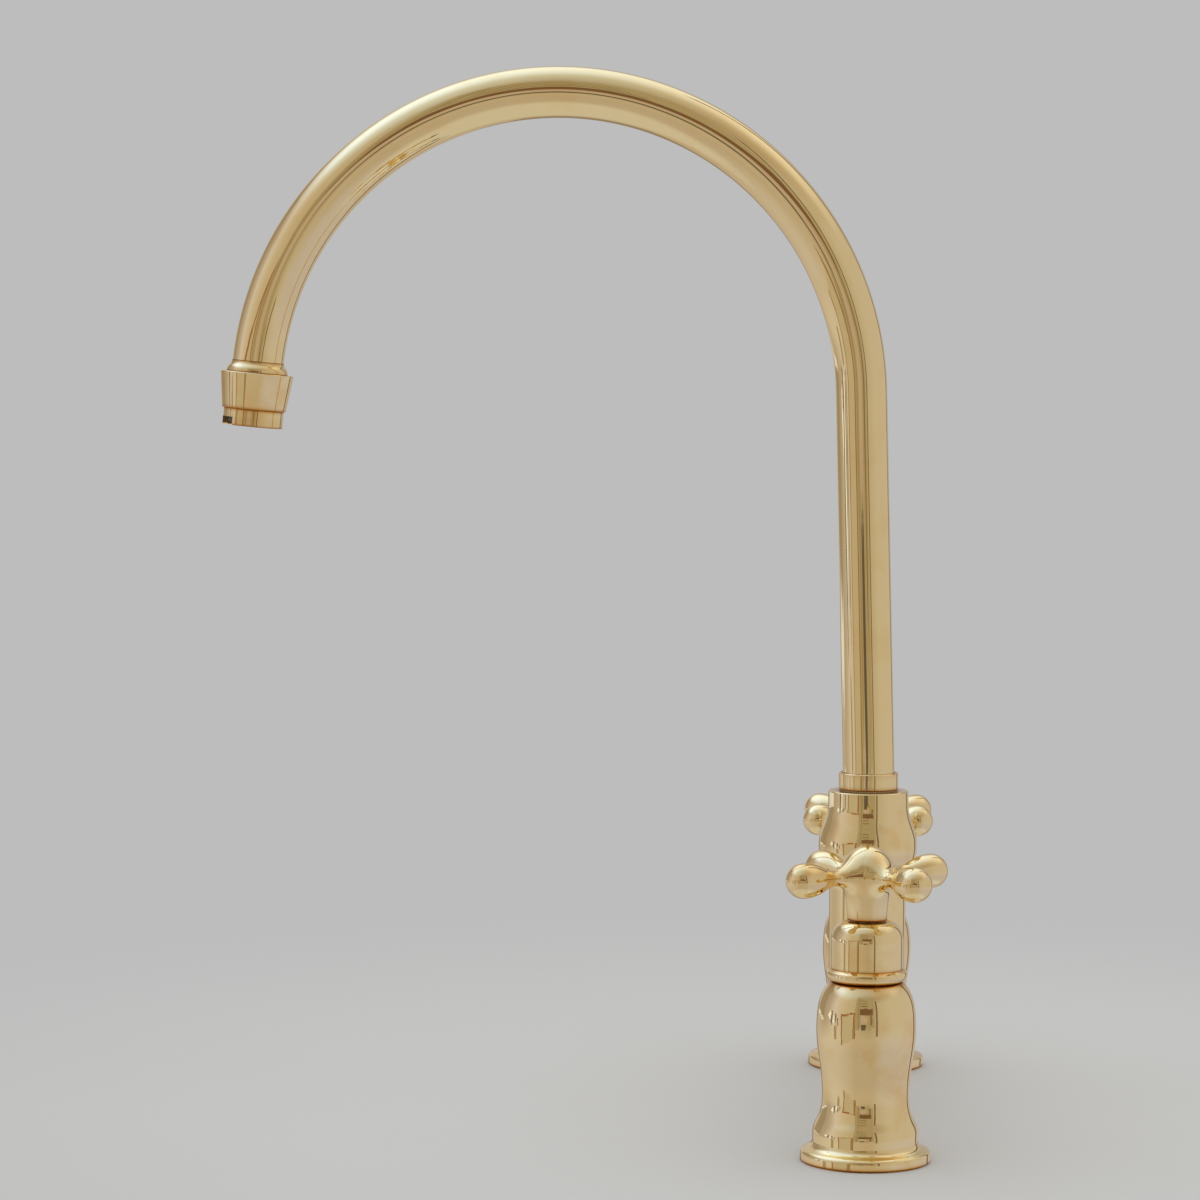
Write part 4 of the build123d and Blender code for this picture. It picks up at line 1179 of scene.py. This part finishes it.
def plain_mesh(carrier):
    """The mesh that an object's modifiers give; the object itself is thrown away."""
    graph = bpy.context.evaluated_depsgraph_get()
    result = bpy.data.meshes.new_from_object(carrier.evaluated_get(graph), depsgraph=graph)
    bpy.data.objects.remove(carrier)
    return result


def grown(name, tree, values, blank=None):
    """Run a Geometry Nodes tree with named inputs and give back its plain mesh."""
    data = blank or bpy.data.meshes.new(name)
    carrier = new_object(name, data)
    modifier = carrier.modifiers.new(name, "NODES")
    modifier.node_group = tree
    for item in tree.interface.items_tree:
        if item.in_out == "INPUT" and item.name in values:
            modifier[item.identifier] = values[item.name]
    result = plain_mesh(carrier)
    bpy.data.meshes.remove(data)
    return result


print("trees so far", len(bpy.data.node_groups))

# %% [markdown]
# ## The gooseneck
#
# The spout is one drawn tube, bent over a round former: a short upright foot in the collar, a
# riser that leans very slightly towards the outlet, an even bend of nearly half a turn, and a
# short straight end inside the outlet. That is a rule, so Geometry Nodes make it. A straight curve
# is divided evenly, and each of its points is moved to where the rule puts that length of tube. A
# circle swept along it gives the outer wall.

# %% The gooseneck's rule
TUBE_FOOT_MM, LEAN_R_MM, LEAN_DEGREES, RISER_MM = 7.0, 200.0, 1.68, 149.9
BEND_R_MM, BEND_DEGREES, TAIL_MM = 124.2, 173.1, 8.0

sweep = bpy.data.node_groups.new("bent_spout_tube", "GeometryNodeTree")
sweep_inputs = {
    "Foot Height": COLLAR_FOOT * MM, "Foot": TUBE_FOOT_MM * MM,
    "Lean Radius": LEAN_R_MM * MM, "Lean Angle": math.radians(LEAN_DEGREES), "Riser": RISER_MM * MM,
    "Bend Radius": BEND_R_MM * MM, "Bend Angle": math.radians(BEND_DEGREES), "Tail": TAIL_MM * MM,
    "Tube Radius": SPOUT_R * MM,
}
given = named_inputs(sweep, sweep_inputs)

# How far along each stretch a point has come: foot, lean, riser, bend and tail.
lean_run = given("Lean Radius") * given("Lean Angle")
bend_run = given("Bend Radius") * given("Bend Angle")
whole = given("Foot") + lean_run + given("Riser") + bend_run + given("Tail")
travelled = Value(sweep, add_node(sweep, "GeometryNodeSplineParameter").outputs["Factor"]) * whole
in_foot = travelled.step("MINIMUM", given("Foot"))
past_foot = travelled - given("Foot")
leant = (past_foot / given("Lean Radius")).held(0.0, given("Lean Angle"))
past_lean = past_foot - lean_run
in_riser = past_lean.held(0.0, given("Riser"))
past_riser = past_lean - given("Riser")
bent = (past_riser / given("Bend Radius")).held(0.0, given("Bend Angle"))
in_tail = (past_riser - bend_run).step("MAXIMUM", 0.0)
print("inputs", list(sweep_inputs))

# %% Where the rule puts it
def rounded(radius, angle, run):
    """Sideways and upwards moves along an arc that starts upright, and a straight run after it."""
    sine, cosine = angle.step("SINE"), angle.step("COSINE")
    return radius * (cosine - 1.0) - run * sine, radius * sine + run * cosine


lean_side, lean_rise = rounded(given("Lean Radius"), leant, in_riser)
bend_side, bend_rise = rounded(given("Bend Radius"), bent, in_tail)
lean_sine, lean_cosine = given("Lean Angle").step("SINE"), given("Lean Angle").step("COSINE")
out = lean_side + bend_side * lean_cosine - bend_rise * lean_sine
height = given("Foot Height") + in_foot + lean_rise + bend_side * lean_sine + bend_rise * lean_cosine
where = vector_of(sweep, 0.0, out, height)
print("the rule is", len(sweep.nodes), "nodes long")

# %% The gooseneck's tube
SWEEP_POINTS, SWEEP_ROUND = 360, 80

straight = add_node(sweep, "GeometryNodeCurvePrimitiveLine", {"End": (0, 0, 1)})
even = add_node(sweep, "GeometryNodeResampleCurve", {"Curve": straight.outputs[0], "Count": SWEEP_POINTS})
laid = add_node(sweep, "GeometryNodeSetPosition", {"Geometry": even.outputs[0], "Position": where})
circle = add_node(
    sweep, "GeometryNodeCurvePrimitiveCircle", {"Resolution": SWEEP_ROUND, "Radius": given("Tube Radius")},
)
skin = add_node(sweep, "GeometryNodeCurveToMesh", {"Curve": laid.outputs[0], "Profile Curve": circle.outputs[0]})
smooth = add_node(sweep, "GeometryNodeSetShadeSmooth", {"Geometry": skin.outputs[0]})
ended(sweep, smooth.outputs[0], given("Material"))
spout_skin = grown("gooseneck", sweep, {**sweep_inputs, "Material": drawn_brass})
print("swept", len(spout_skin.vertices), "points")

# %% The tube's wall
def walled(mesh, wall):
    """Give an open skin a wall on its inner side."""
    skin = bmesh.new()
    skin.from_mesh(mesh)
    bmesh.ops.recalc_face_normals(skin, faces=skin.faces)
    middle = skin.faces[0].calc_center_median()
    if skin.faces[0].normal.dot(Vector((middle.x, middle.y, 0))) < 0:
        bmesh.ops.reverse_faces(skin, faces=skin.faces)
    skin.to_mesh(mesh)
    skin.free()
    carrier = new_object("wall", mesh)
    thick = carrier.modifiers.new("wall", "SOLIDIFY")
    thick.thickness = wall
    thick.offset = -1
    return plain_mesh(carrier)


finish_piece("gooseneck_tube", walled(spout_skin, SPOUT_WALL * MM), "spout_body", "spout_tube", material=drawn_brass)
print("the wall is", SPOUT_WALL, "mm")

# %% [markdown]
# ## The outlet
#
# A turned collar with a small ogee shoulder closes the spout, and the aerator screws into it from
# below. Both are turned about the tube's own end, so they are made upright and then placed where
# the bend ends.

# %% Where the bend ends
def arc_step(radius, lean, angle):
    """The move along an arc towards -Y that starts at a lean, as Y and Z."""
    first, last = math.radians(lean), math.radians(lean + angle)
    return np.array((math.cos(last) - math.cos(first), math.sin(last) - math.sin(first))) * radius


lean_turn = math.radians(LEAN_DEGREES)
bend_end = (
    np.array((0, COLLAR_FOOT + TUBE_FOOT_MM)) + arc_step(LEAN_R_MM, 0, LEAN_DEGREES)
    + np.array((-math.sin(lean_turn), math.cos(lean_turn))) * RISER_MM
    + arc_step(BEND_R_MM, LEAN_DEGREES, BEND_DEGREES)
)
OUTLET_PLACE = moved(0, *bend_end) @ turned(180 + LEAN_DEGREES + BEND_DEGREES, "X")
print("the bend ends at", bend_end)

# %% The outlet collar
SHOULDER_FOOT_R, SHOULDER_TOP_R, SHOULDER_H, OUTLET_LAP = 10.7, 12.6, 4.8, 2.8
OUTLET_R, OUTLET_TIP_R, OUTLET_H, OUTLET_EDGE = 15.0, 13.2, 15.0, 0.25
THROAT_R, AERATOR_THREAD_R, AERATOR_THREAD_H, WASHER_H = 9.0, 11.5, 6.0, 1.8

step_z = OUTLET_LAP - SHOULDER_H
tip_z = step_z - OUTLET_H
washer_z = tip_z + AERATOR_THREAD_H + WASHER_H
thread_bore = AERATOR_THREAD_R + THREAD_SLIP
mesh = ring_of(
    (spout_bore, OUTLET_LAP),
    bezier((SHOULDER_FOOT_R, OUTLET_LAP), (SHOULDER_FOOT_R + OUTLET_EDGE, OUTLET_LAP - SHOULDER_H / 2),
           (SHOULDER_TOP_R, step_z + SHOULDER_H * 0.6), (SHOULDER_TOP_R, step_z)),
    (OUTLET_R - OUTLET_EDGE, step_z), (OUTLET_R, step_z - OUTLET_EDGE), (OUTLET_TIP_R, tip_z + OUTLET_EDGE),
    (OUTLET_TIP_R - OUTLET_EDGE, tip_z), (thread_bore, tip_z), (thread_bore, washer_z), (THROAT_R, washer_z),
    (THROAT_R, -TAIL_MM), (spout_bore, -TAIL_MM),
    ease=0.15,
    seams=[(SHOULDER_FOOT_R, OUTLET_LAP, 0.35), (SHOULDER_TOP_R, step_z, 0.3), (OUTLET_TIP_R, tip_z, 0.4)],
)
finish_piece("outlet_bell", placed(mesh, OUTLET_PLACE), "spout_body", "outlet_collar")
print("outlet down to", tip_z, "mm from the bend's end")

# %% The aerator housing
AERATOR_R, AERATOR_RIM_H, AERATOR_BORE_R = 12.35, 7.0, 10.2
KEY_NOTCH_W, KEY_NOTCH_H, KEY_NOTCH_TURN, NOTCH_PAST = 10.0, 3.4, 33.0, 1

aerator_low = tip_z - AERATOR_RIM_H
aerator_top = tip_z + AERATOR_THREAD_H
shell = ring_of(
    (AERATOR_BORE_R, aerator_low), (AERATOR_R, aerator_low), (AERATOR_R, tip_z), (AERATOR_THREAD_R, tip_z),
    (AERATOR_THREAD_R, aerator_top), (AERATOR_BORE_R, aerator_top),
    ease=0.2,
    seams=[
        (AERATOR_R, tip_z, 0.4), (AERATOR_R, aerator_low, 0.3),
        (AERATOR_BORE_R, aerator_low + 0.5, 0.9), (AERATOR_BORE_R, aerator_low + 2.0, 0.9),
    ],
)
notch = bmesh.new()
bmesh.ops.create_cube(notch, size=MM)
bmesh.ops.scale(notch, vec=(KEY_NOTCH_W, 3 * AERATOR_R, KEY_NOTCH_H + NOTCH_PAST), verts=notch.verts)
placed(notch, moved(z=aerator_low + (KEY_NOTCH_H - NOTCH_PAST) / 2))
placed(notch, turned(KEY_NOTCH_TURN, "Z"))
mesh = creased(joined(shell, notch, "DIFFERENCE"))
finish_piece("aerator_ring", placed(mesh, OUTLET_PLACE), "spout_body", "aerator_housing")
print("key notches", KEY_NOTCH_W, "mm wide")

# %% [markdown]
# ## Plain finishes
#
# The washers, discs, seals, shanks and spindles are turned, lapped or moulded, and a few are of
# other materials than brass. Each gets a base colour, a fine grain in its bump and a slight change
# of tone, with the grain's size taken from how the surface was made.

# %% Plain finishes
DARKER = 0.8
GRAIN_STRENGTH = 0.6


def plain_material(name, colour, roughness, metallic, grain_mm, grain_depth_mm):
    """A simple finish with a fine grain in its bump and a slight change of tone."""
    material, tree = new_material(name)
    place = add_node(tree, "ShaderNodeTexCoord").outputs["Object"]
    grain = noise(tree, place, 1 / (grain_mm * MM), 3.0)["Fac"]
    darker = tuple(DARKER * c for c in linear(colour)[:3]) + (1.0,)
    shader = add_node(tree, "ShaderNodeBsdfPrincipled", {
        "Base Color": mixed(tree, grain, linear(colour), darker), "Metallic": metallic,
        "Roughness": roughness, "Normal": bumped(tree, grain, grain_depth_mm, GRAIN_STRENGTH),
    })
    add_node(tree, "ShaderNodeOutputMaterial", {0: shader.outputs[0]})
    return material


slot_finishes = {
    "polished_brass": polished_brass,
    # Free-cutting brass as the lathe left it, never buffed: a satin yellow with a fine grain.
    "machined_brass": plain_material("machined_brass", "#DDBE7C", 0.3, 1.0, 0.4, 0.01),
    # Rubber pressed in a steel mould: dull black, without a sharp highlight.
    "black_rubber": plain_material("moulded_epdm_rubber", "#1B1B1B", 0.7, 0.0, 0.5, 0.02),
    # Alumina, fired and then lapped flat on a wheel: nearly white, with a soft even shine.
    "alumina_ceramic": plain_material("lapped_alumina", "#ECEAE4", 0.25, 0.0, 0.3, 0.002),
    # Drawn stainless wire, cut into small screws: greyer and cooler than the brass round it.
    "stainless_steel": plain_material("stainless_steel", "#C2C0BC", 0.28, 1.0, 0.4, 0.005),
    # Acetal: a turned engineering plastic, satin; its white is painted down to a brownish tan, as shade in the gap
    # under the spout's collar.
    "acetal": plain_material("turned_acetal", "#9C8350", 0.4, 0.0, 0.5, 0.001),
    # A core moulded of dark plastic: matt, with the mould's rough skin in place of a highlight.
    "aerator_plastic": plain_material("moulded_dark_plastic", "#4A413A", 0.55, 0.0, 0.35, 0.08),
}
node_slots = (
    ("machined_brass", ("inlet_shank", "brass_washer", "lock_nut", "cartridge_body", "spindle", "spout_stem")),
    ("black_rubber", ("flange_gasket", "rubber_washer", "seat_seal", "o_rings", "aerator_washer")),
    ("alumina_ceramic", ("fixed_disc", "moving_disc")),
    ("stainless_steel", ("handle_screw", "retaining_screw")),
    ("acetal", ("glide_washer",)),
    ("aerator_plastic", ("aerator_insert",)),
)
print("finishes", list(slot_finishes))

# %% [markdown]
# ## Threaded shanks
#
# Below the deck a hollow brass shank carries a pipe thread for the lock nut and the supply hose. A
# die cuts one V-shaped groove that climbs by 1.814 mm each turn. Geometry Nodes cut it here too:
# the shank is spun as a plain pipe with fine rows, and the tree pulls each outer point in by the
# depth that the groove has at that point's height and angle.

# %% The thread-cutting tree
THREAD_PITCH_MM, THREAD_DEPTH_MM = 1.814, 1.1
SHANK_DROP, SHANK_NECK, PIPE_R, SHANK_CHAMFER = 62.0, 24.0, 10.67, 0.8
CREST_FLAT = 0.12
OUTER_SHARE = 0.9    # points further out than this share of the crest's radius are on the outer wall

thread_inputs = {
    "Pitch": THREAD_PITCH_MM * MM, "Depth": THREAD_DEPTH_MM * MM, "Crest Radius": THREAD_CREST_R * MM,
    "Lowest": -SHANK_DROP * MM, "Highest": -SHANK_NECK * MM,
}
cutter = bpy.data.node_groups.new("cut_thread", "GeometryNodeTree")
cutter.interface.new_socket(name="Blank", in_out="INPUT", socket_type="NodeSocketGeometry")
given = named_inputs(cutter, thread_inputs)
x, y, z = parts_of(cutter, add_node(cutter, "GeometryNodeInputPosition").outputs[0])
turns = z / given("Pitch") - y.step("ARCTAN2", x) / FULL_TURN
fall = turns.step("FRACT").step("MULTIPLY_ADD", 2.0, -1.0).step("ABSOLUTE")
groove = fall.step("MULTIPLY_ADD", -(1 + 2 * CREST_FLAT), 1 + CREST_FLAT).held(0.0, 1.0)
radius = x.step("MULTIPLY_ADD", x, y * y).step("SQRT")
outside = radius.step("GREATER_THAN", given("Crest Radius") * OUTER_SHARE)
from_low = (z - given("Lowest")) / given("Pitch")
from_high = (given("Highest") - z) / given("Pitch")
run_out = from_low.step("MINIMUM", from_high).held(0.0, 1.0)
inwards = groove * run_out * outside * given("Depth") / radius * -1.0
move = vector_of(cutter, x * inwards, y * inwards)
cut = add_node(cutter, "GeometryNodeSetPosition", {"Geometry": given("Blank"), "Offset": move})
ended(cutter, cut.outputs[0], given("Material"))
print("turns", round((SHANK_DROP - SHANK_NECK) / THREAD_PITCH_MM, 1))

# %% The shanks
ROWS_PER_TURN = 10

rows = int((SHANK_DROP - SHANK_NECK) / THREAD_PITCH_MM * ROWS_PER_TURN)
shank_outline = [
    np.array((WATER_BORE_R, -SHANK_DROP)), np.array((THREAD_CREST_R - SHANK_CHAMFER, -SHANK_DROP)),
    *(np.array((THREAD_CREST_R, z)) for z in np.linspace(-SHANK_DROP + SHANK_CHAMFER, -SHANK_NECK, rows)),
    *outline(
        (PIPE_R, -SHANK_NECK + SLIP), (PIPE_R, FOOT_Z), (THREAD_CREST_R, FOOT_Z), (THREAD_CREST_R, SHANK_TOP),
        (WATER_BORE_R, SHANK_TOP), (WATER_BORE_R, -SHANK_DROP + 0.5), ease=0.1,
    ),
]
machined_brass = slot_finishes["machined_brass"]
for side_name, side in SIDES:
    blank = bpy.data.meshes.new("blank")
    spun(shank_outline, closed=True, steps=96).to_mesh(blank)
    shank = grown("shank", cutter, {**thread_inputs, "Material": machined_brass}, blank)
    shank.transform(at_side(side))
    finish_piece(
        f"{side_name}_threaded_shank", shank, "faucet_body", f"{side_name}_inlet_shank",
        material=machined_brass, slot_name="machined_brass",
    )
print("rows of points in each thread", rows)

# %% [markdown]
# ## The aerator's insert
#
# Water leaves through a moulded plastic core: a rim with a grille of thin bars across it, and a
# second layer of the same bars, a little higher, that crosses the first. Bars repeat, so Geometry
# Nodes place them: a row of points, one bar on each, scaled to the length of the chord that the
# round rim leaves there.

# %% The grille tree
INSERT_R, INSERT_H, INSERT_RIM_W, INSERT_RECESS, INSERT_FLOOR_H = 10.15, 8.0, 1.6, 1.2, 2.5
INSERT_BAR_W, INSERT_BAR_PITCH, INSERT_BAR_H, BAR_LAP = 0.9, 2.0, 2.2, 0.3
field_radius = INSERT_R - INSERT_RIM_W + BAR_LAP

grille_inputs = {
    "Field Radius": field_radius * MM, "Bar Width": INSERT_BAR_W * MM, "Bar Pitch": INSERT_BAR_PITCH * MM,
    "Bar Height": INSERT_BAR_H * MM, "Foot": 0.0, "Turn": 0.0,
}
grille = bpy.data.node_groups.new("bar_grille", "GeometryNodeTree")
given = named_inputs(grille, grille_inputs)
count = (given("Field Radius") * 2.0 / given("Bar Pitch")).step("FLOOR")
row_start = vector_of(grille, (count - 1.0) * given("Bar Pitch") * -0.5)
row_step = vector_of(grille, given("Bar Pitch"))
row = add_node(grille, "GeometryNodeMeshLine", {"Count": count, "Start Location": row_start, "Offset": row_step})
across = parts_of(grille, add_node(grille, "GeometryNodeInputPosition").outputs[0])[0]
chord = (given("Field Radius").step("POWER", 2.0) - across.step("POWER", 2.0)).step("SQRT") * 2.0
bar = add_node(
    grille, "GeometryNodeMeshCube", {"Size": vector_of(grille, given("Bar Width"), 1.0, given("Bar Height"))},
)
bars = add_node(grille, "GeometryNodeInstanceOnPoints", {
    "Points": row.outputs[0], "Instance": bar.outputs[0], "Scale": vector_of(grille, 1.0, chord, 1.0),
})
middle = given("Bar Height").step("MULTIPLY_ADD", 0.5, given("Foot"))
laid = add_node(grille, "GeometryNodeTransform", {
    "Geometry": bars.outputs[0], "Translation": vector_of(grille, z=middle),
    "Rotation": vector_of(grille, z=given("Turn")),
})
ended(grille, laid.outputs[0], given("Material"))
print("bars", int(2 * field_radius / INSERT_BAR_PITCH))

# %% The insert
GRILLE_LAYERS = ((0.3, 0.0), (2.6, 90.0))    # the foot and the turn of each layer of bars

rim_bore, floor_z = INSERT_R - INSERT_RIM_W, INSERT_H - INSERT_FLOOR_H
insert = ring_of(
    (rim_bore, 0), (INSERT_R, 0), (INSERT_R, INSERT_H), (0, INSERT_H), (0, floor_z), (rim_bore, floor_z),
    ease=0.15, steps=72,
)
dark_plastic = slot_finishes["aerator_plastic"]
for foot, bar_turn in GRILLE_LAYERS:
    layer = grown("grille", grille, {
        **grille_inputs, "Foot": foot * MM, "Turn": math.radians(bar_turn), "Material": dark_plastic,
    })
    insert.from_mesh(layer)
    bpy.data.meshes.remove(layer)
insert_place = OUTLET_PLACE @ moved(z=aerator_low + INSERT_RECESS) @ turned(KEY_NOTCH_TURN, "Z")
finish_piece(
    "aerator_grille", placed(creased(insert), insert_place), "spout_body", "aerator_insert",
    material=dark_plastic, slot_name="aerator_plastic",
)
print("layers of bars", len(GRILLE_LAYERS))

# %% [markdown]
# ## The pieces that keep their CAD shape
#
# Washers, discs, seals, spindles and screws are already right, so each only gets its finish.

# %% Finishes for the kept pieces
for node_name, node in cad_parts.items():
    chosen = "polished_brass"
    for slot_name, endings in node_slots:
        if any(node_name.endswith(ending) for ending in endings):
            chosen = slot_name
    node.data.materials.clear()
    node.data.materials.append(slot_finishes[chosen])
    print(node_name, chosen)

# %% [markdown]
# ## Pieces made
#
# The number of pieces made in this script is printed.

# %% Pieces made
print("pieces", len(pieces))
